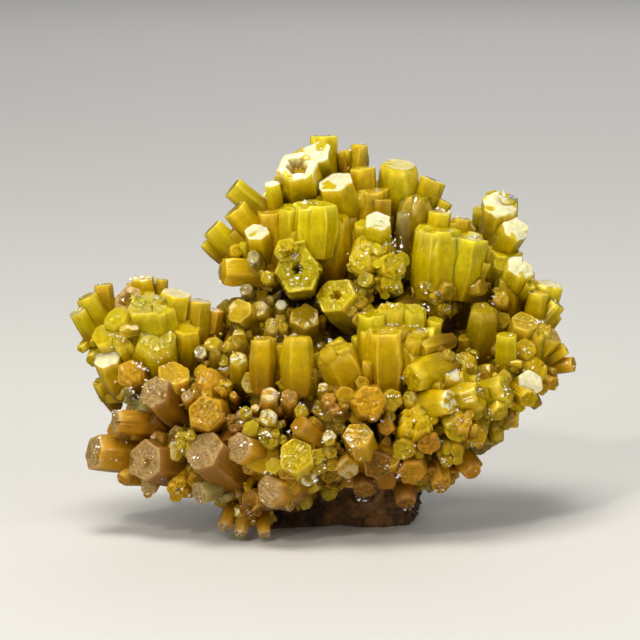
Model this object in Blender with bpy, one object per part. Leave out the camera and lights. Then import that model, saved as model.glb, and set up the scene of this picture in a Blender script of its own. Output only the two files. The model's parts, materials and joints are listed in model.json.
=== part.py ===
"""A pyromorphite specimen: sprays of six-sided crystals grown on a brown, iron-stained matrix.

Run it with blender --background --python part.py, or from Blender's text editor.

Lengths are in millimetres while the shapes are made, and each finished mesh is scaled to metres.
The origin is the middle of the footprint, on the surface that the specimen rests on. +Z is up,
and -Y points towards the viewer.

Each spray is one solid, because its crystals are intergrown. A crystal is placed as the viewer
sees it: across to the right and up, from the middle of the view, and towards the viewer.
"""

import math
import random
from collections import namedtuple

import bmesh
import bpy
from mathutils import Matrix, Vector, noise

# Driving dimensions, in millimetres unless the name says otherwise
METRES_PER_MM = 0.001
VIEW_TILT = math.radians(10.0)
VIEW_DISTANCE = 350.0
MIDDLE_HEIGHT = 20.2
CENTRING_X = -0.34
CENTRING_Y = 0.52
GAP = 0.3
SIDES = 6

# Crystal form, as shares of the crystal's own width and length
ROOT_WIDTH = 0.86
BELLY_PLACE = 0.45
END_WIDTH = 0.94
SHOULDER_DEPTH = 0.14
BLUNT_WIDTH = 0.72
RIM_INSIDE = 0.64
PIT_DEPTH = 0.28
PIT_WIDTH = 0.34
CORE_INSIDE = 0.34
CORE_DEPTH = 0.30
CORE_WIDTH = 0.18
SLIM = 3.8
SLENDER = 3.0

# How far a crystal is turned round its own axis, in degrees for each millimetre of its place
TURN_ACROSS = 37.0
TURN_UP = 53.0

# Matrix form
MATRIX_HEART = Vector((0.5, 2.5, 11.0))
MATRIX_RADIUS = 8.5
MATRIX_FACETS = 3
MATRIX_ROUGHNESS = 1.5
MATRIX_GRAIN = 0.22
NOISE_DIMENSION = 0.8
NOISE_LACUNARITY = 2.0
NOISE_OCTAVES = 4
LOBE_SPREAD = 0.42
LUMP_FACETS = 1

# The crystals behind each spray: how they lean, and how long they are for their fan
FAN_EDGE = 0.05
FAN_SIDEWAYS = 0.12
FAN_LIFT = 0.35
FAN_SHORTEST = 0.85
FAN_LONGEST = 1.10

# Surfaces: red, green, blue and alpha, then roughness
ROCK_COLOUR = (0.10, 0.05, 0.02, 1.0)
CROWN_COLOUR = (0.60, 0.47, 0.02, 1.0)
LEFT_COLOUR = (0.58, 0.45, 0.03, 1.0)
RIGHT_COLOUR = (0.57, 0.45, 0.03, 1.0)
FRONT_COLOUR = (0.55, 0.40, 0.04, 1.0)
BROWN_COLOUR = (0.34, 0.17, 0.05, 1.0)
ROCK_ROUGHNESS = 0.8
CRYSTAL_ROUGHNESS = 0.25

# Each lobe of the matrix is the point in space that its swelling reaches
MATRIX_LOBES = (
    (-14.5, 1.0, 15.5),
    (15.0, 2.5, 18.0),
    (1.0, 4.5, 24.0),
    (9.0, 5.0, 22.0),
    (-7.0, 3.5, 20.0),
    (-6.5, -4.0, -1.5),
    (8.5, -3.5, -1.5),
    (1.0, 6.5, -2.5),
    (2.5, 12.0, 6.5),
    (-6.5, 7.5, 1.0),
    (9.5, 7.5, 2.5),
)

Crystal = namedtuple("Crystal", "across up toward aim width length form")
Lump = namedtuple("Lump", "across up toward radius")
Fan = namedtuple("Fan", "heart reach count widths length seed")
Spray = namedtuple("Spray", "name crystals lumps fans colour")

FLAT = "flat"
BLUNT = "blunt"
HOPPER = "hopper"
CORED = "cored"
FAN_FORMS = (FLAT, FLAT, BLUNT)

CROWN_CRYSTALS = (
    # The row along the top, from left to right
    Crystal(0.4, 18.5, -3.0, (0.00, 1.00, 0.10), 3.6, 9.0, FLAT),
    Crystal(-0.4, 16.8, -0.5, (-0.25, 0.58, 0.78), 3.7, 8.0, FLAT),
    Crystal(-2.3, 15.5, 1.5, (-0.10, 0.62, 0.78), 4.0, 7.5, HOPPER),
    Crystal(-4.8, 13.7, 1.0, (-0.15, 0.93, 0.35), 1.9, 8.0, FLAT),
    Crystal(1.5, 13.9, 1.5, (-0.25, 0.80, 0.50), 3.4, 6.5, FLAT),
    Crystal(2.5, 17.0, -2.5, (-0.05, 1.00, 0.20), 1.4, 6.5, BLUNT),
    Crystal(4.0, 17.6, -3.0, (0.05, 1.00, 0.10), 2.0, 8.0, FLAT),
    Crystal(4.3, 15.4, -0.5, (0.00, 0.98, 0.20), 2.8, 7.0, FLAT),
    Crystal(8.0, 15.6, -1.0, (0.05, 0.87, 0.50), 4.8, 9.0, FLAT),
    Crystal(11.3, 14.1, -1.5, (0.35, 0.93, 0.10), 2.8, 8.0, FLAT),
    # The left edge, where prisms point up and to the left
    Crystal(-8.8, 13.3, 0.0, (-0.77, 0.60, 0.20), 2.6, 8.0, FLAT),
    Crystal(-8.6, 11.1, 1.0, (-0.62, 0.75, 0.20), 2.9, 6.5, FLAT),
    Crystal(-10.9, 9.3, 1.0, (-0.70, 0.70, 0.15), 2.4, 8.0, FLAT),
    Crystal(-10.1, 4.8, 2.0, (-0.95, 0.00, 0.30), 2.7, 7.5, FLAT),
    # The face of the crown, which looks at the viewer
    Crystal(-2.8, 11.5, 3.0, (0.00, 0.98, 0.20), 2.6, 7.0, FLAT),
    Crystal(-0.5, 11.8, 3.3, (0.05, 0.98, 0.20), 3.7, 7.0, FLAT),
    Crystal(-6.3, 8.9, 3.0, (-0.10, 0.75, 0.64), 2.6, 6.0, FLAT),
    Crystal(-3.4, 7.4, 6.3, (-0.30, 0.60, 0.75), 2.4, 5.0, FLAT),
    Crystal(-2.3, 5.2, 6.0, (-0.05, 0.10, 0.99), 5.9, 8.0, CORED),
    Crystal(-5.4, 4.3, 5.0, (-0.20, 0.10, 0.97), 1.5, 5.0, BLUNT),
    Crystal(5.9, 10.0, 4.5, (0.10, 0.75, 0.65), 2.8, 6.0, FLAT),
    Crystal(5.6, 7.7, 4.6, (0.05, 0.45, 0.89), 5.2, 7.0, BLUNT),
    Crystal(3.7, 5.9, 5.6, (-0.30, 0.20, 0.93), 2.8, 6.5, BLUNT),
    Crystal(7.4, 5.4, 5.6, (0.25, 0.15, 0.95), 3.0, 6.5, BLUNT),
    Crystal(6.5, 3.6, 5.2, (0.10, -0.10, 0.99), 2.4, 6.5, BLUNT),
    Crystal(4.3, 3.3, 4.8, (-0.10, -0.10, 0.99), 2.2, 6.0, BLUNT),
    Crystal(2.7, 10.4, 0.5, (0.00, 0.95, 0.25), 2.8, 6.0, BLUNT),
    Crystal(6.0, 12.2, 0.5, (0.05, 0.97, 0.20), 2.6, 7.0, FLAT),
    Crystal(8.3, 10.7, 3.5, (0.00, 0.90, 0.40), 1.4, 5.0, BLUNT),
    Crystal(12.3, 9.0, 2.5, (0.12, 0.93, 0.35), 6.2, 8.5, FLAT),
    Crystal(12.0, 10.9, 0.5, (0.10, 0.97, 0.20), 2.6, 7.0, FLAT),
    Crystal(14.2, 10.2, 0.0, (0.20, 0.95, 0.20), 2.2, 7.0, FLAT),
    Crystal(15.6, 8.3, 2.0, (0.20, 0.95, 0.20), 2.0, 6.5, BLUNT),
    # The lower edge of the crown
    Crystal(1.5, 2.5, 5.0, (-0.40, 0.40, 0.82), 3.9, 7.0, CORED),
    Crystal(4.0, 0.9, 5.5, (0.00, 0.10, 1.00), 3.0, 7.0, BLUNT),
    Crystal(10.9, 3.4, 3.8, (0.35, 0.10, 0.93), 1.5, 5.0, BLUNT),
    Crystal(11.8, 2.1, 3.6, (0.40, -0.10, 0.92), 1.5, 5.0, BLUNT),
    Crystal(12.6, 0.9, 3.2, (0.45, -0.20, 0.88), 1.4, 5.0, BLUNT),
)

LEFT_CRYSTALS = (
    Crystal(-23.4, 2.4, 2.0, (-0.42, 0.88, 0.20), 2.7, 7.0, FLAT),
    Crystal(-24.3, 0.9, 3.0, (-0.45, 0.82, 0.35), 2.2, 6.5, FLAT),
    Crystal(-21.7, 3.6, 0.5, (-0.10, 0.98, 0.15), 2.2, 7.0, FLAT),
    Crystal(-19.3, 2.0, 3.5, (-0.30, 0.50, 0.80), 3.2, 6.5, HOPPER),
    Crystal(-17.7, 4.3, 1.0, (-0.10, 0.93, 0.35), 2.6, 7.0, FLAT),
    Crystal(-15.8, 4.1, 0.0, (0.05, 0.99, 0.10), 1.5, 7.0, FLAT),
    Crystal(-17.0, -1.3, 6.5, (0.25, -0.10, 0.93), 5.6, 8.0, FLAT),
    Crystal(-17.0, 2.4, 3.6, (0.00, 0.90, 0.40), 4.0, 7.0, FLAT),
    Crystal(-14.4, 2.7, 3.4, (0.15, 0.93, 0.30), 2.9, 7.5, FLAT),
    Crystal(-12.0, 2.0, 2.8, (0.12, 0.97, 0.20), 2.3, 7.5, FLAT),
    Crystal(-10.5, 1.1, 2.0, (0.15, 0.97, 0.20), 1.7, 6.5, FLAT),
    Crystal(-21.3, -3.6, 4.6, (-0.30, 0.72, 0.62), 2.8, 5.0, FLAT),
    Crystal(-19.0, -5.4, 7.0, (-0.10, 0.10, 0.98), 3.1, 6.5, BLUNT),
    Crystal(-14.5, -5.2, 7.6, (0.05, 0.75, 0.65), 3.1, 6.0, FLAT),
)

RIGHT_CRYSTALS = (
    Crystal(18.0, 11.7, -1.0, (0.10, 0.65, 0.75), 4.1, 10.0, HOPPER),
    Crystal(19.9, 9.1, 0.0, (0.38, 0.52, 0.76), 3.0, 8.5, FLAT),
    Crystal(20.2, 5.3, 1.5, (0.25, 0.65, 0.72), 2.7, 8.0, FLAT),
    Crystal(21.9, 2.8, 1.0, (0.15, 0.93, 0.30), 2.2, 6.5, FLAT),
    Crystal(23.0, 3.8, -1.0, (0.30, 0.93, 0.20), 2.9, 7.5, FLAT),
    Crystal(23.8, 1.7, 0.0, (0.60, 0.75, 0.20), 2.0, 6.0, FLAT),
    Crystal(18.6, 7.0, -1.6, (0.10, 0.90, 0.40), 3.6, 8.0, FLAT),
    Crystal(15.7, 4.0, -2.0, (0.10, 0.98, 0.10), 4.0, 7.0, FLAT),
    Crystal(18.1, 2.2, 3.0, (0.00, 0.20, 0.98), 1.8, 6.0, BLUNT),
    Crystal(16.4, 1.2, 3.4, (0.05, 0.88, 0.45), 3.1, 6.5, FLAT),
    Crystal(20.4, -0.1, 4.0, (0.10, 0.70, 0.70), 2.5, 6.0, FLAT),
    Crystal(18.7, -1.4, 6.0, (0.00, 0.95, 0.30), 2.0, 6.0, FLAT),
    Crystal(20.8, -2.7, 5.0, (0.30, 0.40, 0.87), 2.4, 6.0, BLUNT),
    Crystal(23.1, -1.4, 3.0, (0.50, 0.70, 0.50), 2.4, 6.0, FLAT),
    Crystal(25.4, -4.4, 1.5, (0.90, 0.10, 0.40), 1.9, 6.0, FLAT),
    Crystal(21.1, -6.3, 6.5, (0.30, 0.20, 0.93), 2.6, 6.5, FLAT),
    Crystal(23.5, -6.4, 3.0, (0.70, -0.30, 0.65), 1.7, 5.0, BLUNT),
)

FRONT_CRYSTALS = (
    # Small crystals in the valley below the crown
    Crystal(-6.1, 1.2, 3.0, (-0.20, 0.30, 0.93), 2.1, 5.0, FLAT),
    Crystal(-8.1, 1.8, 1.5, (0.00, 0.95, 0.20), 1.9, 5.5, FLAT),
    Crystal(-4.4, -0.2, 4.5, (0.00, 0.60, 0.80), 2.6, 5.5, BLUNT),
    Crystal(-1.5, 0.4, 4.5, (0.10, 0.50, 0.85), 2.8, 6.0, FLAT),
    Crystal(-8.2, -1.4, 4.5, (-0.20, 0.50, 0.85), 1.6, 5.0, FLAT),
    Crystal(-10.8, -2.2, 5.0, (-0.20, 0.70, 0.70), 2.0, 5.0, FLAT),
    # The row of upright prisms along the front
    Crystal(-8.2, -3.7, 8.0, (-0.10, 0.70, 0.70), 1.9, 5.5, FLAT),
    Crystal(-5.7, -1.9, 9.0, (0.00, 0.95, 0.30), 2.4, 5.5, FLAT),
    Crystal(-2.3, -1.7, 9.6, (0.00, 0.96, 0.28), 3.3, 5.8, FLAT),
    Crystal(1.0, -2.5, 9.3, (-0.42, 0.85, 0.32), 3.6, 6.0, FLAT),
    Crystal(5.1, 0.8, 8.0, (0.00, 0.97, 0.25), 2.4, 7.0, FLAT),
    Crystal(7.2, 1.6, 7.8, (0.00, 0.90, 0.40), 3.1, 7.5, BLUNT),
    Crystal(9.4, 1.3, 7.6, (0.10, 0.90, 0.40), 3.0, 7.5, BLUNT),
    Crystal(6.8, -1.8, 9.3, (0.00, 0.35, 0.93), 5.0, 7.0, CORED),
    Crystal(9.3, -1.2, 8.8, (0.15, 0.30, 0.94), 3.2, 6.5, BLUNT),
    Crystal(11.8, -1.4, 7.5, (0.85, 0.20, 0.45), 2.2, 6.0, BLUNT),
    # The shelf below the row
    Crystal(-11.6, -5.6, 8.5, (-0.40, 0.60, 0.70), 2.7, 5.5, FLAT),
    Crystal(-9.8, -6.6, 9.0, (-0.10, 0.40, 0.90), 1.6, 5.0, BLUNT),
    Crystal(-5.1, -7.4, 11.0, (0.00, 0.50, 0.85), 2.0, 5.5, FLAT),
    Crystal(-3.0, -7.6, 11.0, (0.00, 0.40, 0.90), 1.9, 5.5, BLUNT),
    Crystal(-1.9, -9.1, 11.5, (0.00, 0.20, 0.98), 1.6, 7.0, FLAT),
    Crystal(1.7, -8.0, 12.0, (0.00, 0.30, 0.95), 2.7, 6.0, BLUNT),
    Crystal(5.0, -8.1, 13.5, (0.05, 0.05, 1.00), 3.6, 7.5, FLAT),
    Crystal(7.4, -7.9, 12.0, (0.30, 0.20, 0.93), 2.3, 6.0, BLUNT),
    Crystal(8.9, -5.9, 11.0, (-0.70, -0.25, 0.65), 3.2, 5.5, BLUNT),
    Crystal(13.3, -5.2, 9.5, (0.30, 0.70, 0.60), 2.2, 5.5, FLAT),
    Crystal(13.1, -8.2, 12.0, (0.75, 0.10, 0.65), 2.7, 5.5, FLAT),
    Crystal(9.8, -9.7, 12.0, (0.10, 0.40, 0.90), 3.6, 6.5, BLUNT),
    Crystal(16.2, -7.4, 10.5, (0.60, 0.20, 0.75), 3.0, 6.5, FLAT),
    Crystal(18.6, -7.1, 9.2, (0.40, 0.10, 0.90), 3.2, 7.0, FLAT),
    Crystal(14.4, -10.1, 12.0, (0.10, 0.40, 0.90), 1.8, 5.5, FLAT),
    Crystal(13.9, -11.2, 11.5, (0.10, -0.50, 0.85), 3.0, 6.0, FLAT),
    Crystal(18.0, -9.5, 9.4, (0.20, -0.60, 0.77), 2.3, 5.5, BLUNT),
    Crystal(21.0, -8.0, 7.5, (0.40, -0.30, 0.85), 2.2, 6.0, FLAT),
    # Below the shelf on the right
    Crystal(6.6, -10.6, 12.0, (0.00, 0.10, 0.99), 1.8, 5.0, BLUNT),
    Crystal(10.9, -12.4, 11.2, (0.10, -0.20, 0.97), 2.7, 6.0, FLAT),
    Crystal(8.3, -13.0, 11.4, (-0.10, -0.10, 0.99), 2.6, 6.0, BLUNT),
    Crystal(16.0, -12.0, 9.6, (0.40, -0.45, 0.80), 2.4, 6.0, BLUNT),
    Crystal(13.3, -13.8, 10.0, (0.20, -0.45, 0.87), 2.8, 6.0, FLAT),
    Crystal(9.2, -15.6, 10.4, (0.00, -0.40, 0.92), 3.0, 6.5, BLUNT),
    Crystal(6.6, -16.2, 10.2, (-0.10, -0.40, 0.91), 2.2, 6.0, FLAT),
    Crystal(12.2, -16.8, 8.6, (0.20, -0.65, 0.74), 2.4, 6.0, BLUNT),
    Crystal(15.4, -15.4, 7.6, (0.45, -0.60, 0.66), 2.0, 6.0, FLAT),
    Crystal(8.6, -18.4, 8.2, (0.00, -0.75, 0.66), 2.2, 6.0, BLUNT),
)

BROWN_CRYSTALS = (
    # The left edge
    Crystal(-16.6, -6.9, 8.5, (-0.45, 0.50, 0.74), 3.4, 7.0, FLAT),
    Crystal(-11.5, -9.3, 11.0, (-0.10, 0.10, 0.99), 3.7, 6.5, BLUNT),
    Crystal(-13.3, -7.5, 10.0, (-0.10, 0.30, 0.95), 1.4, 5.0, FLAT),
    Crystal(-20.6, -10.2, 7.0, (-0.90, 0.05, 0.40), 2.4, 6.5, FLAT),
    Crystal(-22.7, -13.2, 6.0, (-0.85, 0.10, 0.52), 3.5, 8.0, FLAT),
    Crystal(-17.6, -14.1, 8.0, (-0.65, 0.10, 0.75), 4.1, 8.0, FLAT),
    Crystal(-13.6, -12.0, 10.0, (-0.20, 0.20, 0.96), 2.6, 6.0, BLUNT),
    Crystal(-19.9, -16.0, 6.0, (-0.50, -0.50, 0.70), 1.6, 5.5, BLUNT),
    Crystal(-17.2, -17.0, 7.0, (-0.20, -0.60, 0.75), 1.9, 6.0, BLUNT),
    Crystal(-14.2, -17.2, 8.0, (-0.10, -0.50, 0.85), 2.4, 6.0, BLUNT),
    # The middle, with the biggest caps
    Crystal(-11.7, -12.9, 11.0, (-0.50, 0.45, 0.72), 3.9, 8.0, FLAT),
    Crystal(-8.2, -12.7, 11.5, (-0.60, 0.15, 0.78), 2.9, 6.5, FLAT),
    Crystal(-5.7, -13.5, 10.8, (0.20, 0.10, 0.97), 4.2, 7.0, BLUNT),
    Crystal(-12.1, -17.4, 9.0, (-0.75, -0.30, 0.60), 2.2, 6.0, FLAT),
    Crystal(-8.4, -10.0, 11.0, (-0.10, 0.30, 0.95), 2.2, 5.5, BLUNT),
    Crystal(-7.4, -9.1, 10.8, (0.10, 0.50, 0.85), 1.5, 5.0, FLAT),
    Crystal(-5.2, -9.6, 12.0, (0.00, 0.40, 0.90), 2.0, 5.5, FLAT),
    Crystal(-6.9, -10.7, 12.0, (0.00, 0.30, 0.95), 1.8, 5.5, FLAT),
    Crystal(-5.0, -11.6, 12.3, (0.00, 0.20, 0.98), 2.1, 5.5, BLUNT),
    Crystal(-2.3, -10.4, 12.0, (-0.60, 0.50, 0.60), 2.2, 5.5, FLAT),
    Crystal(-2.4, -13.5, 12.5, (0.00, 0.35, 0.93), 3.3, 6.5, FLAT),
    Crystal(-3.2, -14.8, 12.0, (-0.10, 0.10, 0.99), 2.7, 6.0, BLUNT),
    Crystal(-5.3, -17.1, 11.5, (-0.50, 0.00, 0.85), 4.2, 7.0, BLUNT),
    Crystal(-2.8, -16.7, 11.0, (0.20, -0.20, 0.95), 2.2, 6.0, BLUNT),
    Crystal(-1.0, -15.8, 11.5, (0.30, -0.10, 0.94), 1.8, 5.5, FLAT),
    Crystal(-3.3, -18.4, 10.5, (0.00, -0.50, 0.85), 1.5, 5.0, BLUNT),
    # To the right of the middle
    Crystal(1.2, -10.0, 11.0, (0.00, 0.30, 0.95), 3.0, 6.0, BLUNT),
    Crystal(3.8, -11.5, 13.0, (-0.15, 0.50, 0.85), 3.5, 6.5, FLAT),
    Crystal(0.7, -14.0, 12.0, (0.30, 0.00, 0.95), 3.2, 6.5, BLUNT),
    Crystal(2.9, -15.0, 11.5, (0.10, -0.20, 0.97), 2.4, 6.0, FLAT),
    Crystal(0.9, -11.7, 12.3, (0.00, 0.20, 0.98), 1.6, 5.0, BLUNT),
    Crystal(5.8, -14.6, 11.0, (0.10, -0.30, 0.95), 2.8, 6.0, FLAT),
    Crystal(4.4, -17.2, 9.5, (0.00, -0.60, 0.80), 2.2, 6.0, BLUNT),
    # The lowest tips
    Crystal(-7.0, -19.2, 9.0, (0.00, -0.40, 0.90), 2.2, 6.0, BLUNT),
    Crystal(-9.6, -20.8, 7.5, (-0.30, -0.70, 0.60), 1.6, 5.5, BLUNT),
    Crystal(-8.0, -21.5, 7.5, (-0.10, -0.80, 0.60), 1.5, 5.5, BLUNT),
    Crystal(-5.5, -21.6, 7.5, (0.10, -0.80, 0.60), 1.7, 5.5, BLUNT),
)

SPRAYS = (
    Spray(
        "crown_spray",
        CROWN_CRYSTALS,
        (
            Lump(-5.0, 5.5, -2.0, 3.6),
            Lump(-1.5, 7.0, -2.8, 4.6),
            Lump(4.0, 7.0, -3.4, 5.0),
            Lump(9.5, 6.0, -3.2, 4.6),
            Lump(12.5, 3.0, -3.0, 3.8),
            Lump(3.0, 2.0, -1.6, 3.6),
            Lump(-3.5, -0.5, -9.0, 3.8),
            Lump(2.0, 1.5, -9.0, 4.2),
            Lump(6.5, -1.5, -9.5, 3.6),
        ),
        (
            Fan((1.5, 6.5, -3.5), (9.5, 8.0, 9.0), 10, (2.4, 3.9), 8.0, 11),
            Fan((1.5, -1.0, -7.0), (9.0, 6.5, 7.5), 7, (2.2, 3.5), 6.0, 53),
        ),
        CROWN_COLOUR,
    ),
    Spray(
        "left_spray",
        LEFT_CRYSTALS,
        (
            Lump(-19.0, -3.4, 0.6, 3.2),
            Lump(-15.5, -3.6, 0.4, 3.8),
            Lump(-12.5, -3.8, 0.4, 3.4),
            Lump(-16.5, -6.2, 2.6, 2.9),
        ),
        (Fan((-16.5, -3.2, -0.8), (6.0, 5.0, 7.5), 7, (2.2, 3.1), 6.5, 23),),
        LEFT_COLOUR,
    ),
    Spray(
        "right_spray",
        RIGHT_CRYSTALS,
        (
            Lump(17.5, 3.5, -4.6, 3.2),
            Lump(17.5, -0.5, -2.2, 3.8),
            Lump(20.0, -3.5, -0.8, 3.4),
            Lump(19.2, -6.0, 1.4, 3.0),
        ),
        (Fan((18.0, -0.5, -3.0), (5.0, 6.5, 7.0), 8, (2.2, 3.1), 6.5, 37),),
        RIGHT_COLOUR,
    ),
    Spray(
        "front_row",
        FRONT_CRYSTALS,
        (
            Lump(-7.0, -0.6, 0.2, 3.2),
            Lump(-2.6, -2.0, 1.6, 3.4),
            Lump(-8.8, -5.2, 3.0, 3.4),
            Lump(-4.5, -6.5, 4.2, 3.8),
            Lump(1.0, -7.0, 5.0, 4.2),
            Lump(6.5, -7.0, 4.8, 4.6),
            Lump(11.5, -9.0, 4.6, 4.4),
            Lump(16.5, -8.5, 3.6, 3.6),
            Lump(10.0, -13.5, 3.8, 4.2),
        ),
        (),
        FRONT_COLOUR,
    ),
    Spray(
        "brown_crystals",
        BROWN_CRYSTALS,
        (
            Lump(-16.0, -12.0, 2.4, 3.8),
            Lump(-11.0, -12.5, 3.4, 4.4),
            Lump(-5.5, -13.5, 4.6, 4.6),
            Lump(0.5, -13.0, 5.0, 4.6),
            Lump(-7.0, -17.4, 3.4, 3.4),
        ),
        (),
        BROWN_COLOUR,
    ),
)


def clear_scene():
    """Empties the scene, so that the file can be run again."""
    for thing in list(bpy.data.objects):
        bpy.data.objects.remove(thing, do_unlink=True)


def direction(right, up, toward):
    """A direction given as the viewer sees it, in world axes."""
    return Vector((
        right,
        up * math.sin(VIEW_TILT) - toward * math.cos(VIEW_TILT),
        up * math.cos(VIEW_TILT) + toward * math.sin(VIEW_TILT),
    ))


def place(across, up, toward):
    """A point given as the viewer sees it, moved along its sight line to its own depth."""
    nearer = 1.0 - toward / VIEW_DISTANCE
    return direction(across * nearer, up * nearer, toward) + Vector((0.0, 0.0, MIDDLE_HEIGHT))


def ring(bm, frame, radius, along):
    """Six corners round the crystal's axis, at a distance along it from the tip."""
    corners = []
    for side in range(SIDES):
        angle = math.tau * side / SIDES
        corner = Vector((radius * math.cos(angle), radius * math.sin(angle), along))
        corners.append(bm.verts.new(frame @ corner))
    return corners


def ring_profile(crystal, clearance):
    """The rings of a crystal from root to end: distance from the tip, and radius."""
    half = crystal.width / 2.0
    profile = [(-crystal.length - clearance, half * ROOT_WIDTH + clearance)]
    if crystal.width > SLIM:
        profile.append((-crystal.length * BELLY_PLACE, half + clearance))
    if crystal.form == BLUNT and crystal.width > SLENDER:
        shoulder = clearance - crystal.width * SHOULDER_DEPTH
        profile.append((shoulder, half * END_WIDTH + clearance))
        profile.append((clearance, half * BLUNT_WIDTH + clearance))
    else:
        profile.append((clearance, half * END_WIDTH + clearance))
    if crystal.form == HOPPER and clearance == 0.0:
        profile.append((0.0, half * RIM_INSIDE))
        profile.append((-crystal.width * PIT_DEPTH, half * PIT_WIDTH))
    if crystal.form == CORED and clearance == 0.0:
        profile.append((0.0, half * CORE_INSIDE))
        profile.append((-crystal.width * CORE_DEPTH, half * CORE_WIDTH))
    return profile


def crystal_frame(crystal):
    """The crystal's own axes: +Z along its length, with the tip at the origin."""
    turn = crystal.across * TURN_ACROSS + crystal.up * TURN_UP
    upright = direction(*crystal.aim).to_track_quat("Z", "Y").to_matrix().to_4x4()
    spin = Matrix.Rotation(math.radians(turn), 4, "Z")
    tip = place(crystal.across, crystal.up, crystal.toward)
    return Matrix.Translation(tip) @ upright @ spin


def crystal_mesh(crystal, clearance=0.0):
    """A six-sided prism, widest at its belly, with a flat, blunt or hollow end."""
    bm = bmesh.new()
    frame = crystal_frame(crystal)
    rings = [ring(bm, frame, radius, along) for along, radius in ring_profile(crystal, clearance)]
    bm.faces.new(reversed(rings[0]))
    for lower, upper in zip(rings, rings[1:]):
        for side in range(SIDES):
            after = (side + 1) % SIDES
            bm.faces.new((lower[side], lower[after], upper[after], upper[side]))
    bm.faces.new(rings[-1])
    return finished_mesh(bm, "crystal")


def lump_mesh(lump, clearance=0.0):
    """A faceted lump of massive crystal that a spray's crystals grow out of."""
    bm = bmesh.new()
    bmesh.ops.create_icosphere(bm, subdivisions=LUMP_FACETS, radius=lump.radius + clearance)
    bmesh.ops.translate(bm, verts=bm.verts, vec=place(lump.across, lump.up, lump.toward))
    return finished_mesh(bm, "lump")


def matrix_radius(outward):
    """How far the matrix reaches from its heart in one direction."""
    reach = MATRIX_RADIUS
    for lobe in MATRIX_LOBES:
        arm = Vector(lobe) - MATRIX_HEART
        angle = outward.angle(arm)
        reach += (arm.length - MATRIX_RADIUS) * math.exp(-((angle / LOBE_SPREAD) ** 2))
    return reach


def matrix_mesh(clearance=0.0):
    """The rock that every spray grows on: a rough lobed lump, broken off flat at the bottom."""
    bm = bmesh.new()
    bmesh.ops.create_icosphere(bm, subdivisions=MATRIX_FACETS, radius=1.0)
    for vert in bm.verts:
        outward = vert.co.normalized()
        point = MATRIX_HEART + outward * matrix_radius(outward)
        swell = noise.fractal(point * MATRIX_GRAIN, NOISE_DIMENSION, NOISE_LACUNARITY, NOISE_OCTAVES)
        vert.co = point + outward * (swell * MATRIX_ROUGHNESS + clearance)
    cut_flat(bm, -clearance)
    return finished_mesh(bm, "matrix")


def cut_flat(bm, height):
    """Takes away what lies below a height, and closes the cut with one flat face."""
    everything = bm.verts[:] + bm.edges[:] + bm.faces[:]
    cut = bmesh.ops.bisect_plane(
        bm,
        geom=everything,
        plane_co=(0.0, 0.0, height),
        plane_no=(0.0, 0.0, -1.0),
        clear_outer=True,
    )
    edges = [item for item in cut["geom_cut"] if isinstance(item, bmesh.types.BMEdge)]
    bmesh.ops.edgeloop_fill(bm, edges=edges)


def finished_mesh(bm, name):
    """Turns the faces outwards and hands the shape over as a mesh."""
    bmesh.ops.recalc_face_normals(bm, faces=bm.faces)
    mesh = bpy.data.meshes.new(name)
    bm.to_mesh(mesh)
    bm.free()
    return mesh


def fan_crystals(fan):
    """Crystals on the side of a spray that the viewer can't see, pointing away from its heart."""
    rng = random.Random(fan.seed)
    golden_turn = math.pi * (3.0 - math.sqrt(5.0))
    crystals = []
    for number in range(fan.count):
        away = FAN_EDGE + (1.0 - FAN_EDGE) * (number + 0.5) / fan.count
        round_it = number * golden_turn
        spread = math.sqrt(1.0 - away * away)
        aim = (
            spread * math.cos(round_it) + rng.uniform(-FAN_SIDEWAYS, FAN_SIDEWAYS),
            spread * math.sin(round_it) + rng.uniform(0.0, FAN_LIFT),
            -away,
        )
        tip = [start + step * part for start, step, part in zip(fan.heart, fan.reach, aim)]
        width = rng.uniform(*fan.widths)
        length = fan.length * rng.uniform(FAN_SHORTEST, FAN_LONGEST)
        form = rng.choice(FAN_FORMS)
        crystals.append(Crystal(tip[0], tip[1], tip[2], aim, width, length, form))
    return crystals


def spray_crystals(spray):
    """All the crystals of a spray, on the viewer's side and behind."""
    behind = [crystal for fan in spray.fans for crystal in fan_crystals(fan)]
    return list(spray.crystals) + behind


def spray_meshes(spray, clearance=0.0):
    """A spray's crystals and lumps, each as a closed mesh."""
    meshes = [crystal_mesh(crystal, clearance) for crystal in spray_crystals(spray)]
    meshes += [lump_mesh(lump, clearance) for lump in spray.lumps]
    return meshes


def combined(mesh, others, operation):
    """The result of one exact Boolean between a mesh and several others."""
    scene = bpy.context.scene
    operands = bpy.data.collections.new("operands")
    scene.collection.children.link(operands)
    for other in others:
        operands.objects.link(bpy.data.objects.new("operand", other))
    body = bpy.data.objects.new("body", mesh)
    scene.collection.objects.link(body)
    modifier = body.modifiers.new("combine", "BOOLEAN")
    modifier.operation = operation
    modifier.solver = "EXACT"
    modifier.operand_type = "COLLECTION"
    modifier.collection = operands
    graph = bpy.context.evaluated_depsgraph_get()
    result = bpy.data.meshes.new_from_object(body.evaluated_get(graph))
    for thing in [body] + list(operands.objects):
        bpy.data.objects.remove(thing, do_unlink=True)
    bpy.data.collections.remove(operands)
    return result


def islands(bm):
    """The separate closed skins in a mesh, as lists of faces."""
    waiting = set(bm.faces)
    found = []
    while waiting:
        island = []
        edge_of_search = [waiting.pop()]
        while edge_of_search:
            face = edge_of_search.pop()
            island.append(face)
            for edge in face.edges:
                for neighbour in edge.link_faces:
                    if neighbour in waiting:
                        waiting.remove(neighbour)
                        edge_of_search.append(neighbour)
        found.append(island)
    return found


def island_size(island):
    """The area of a skin, which tells the main one from crumbs and closed pockets."""
    return sum(face.calc_area() for face in island)


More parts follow.
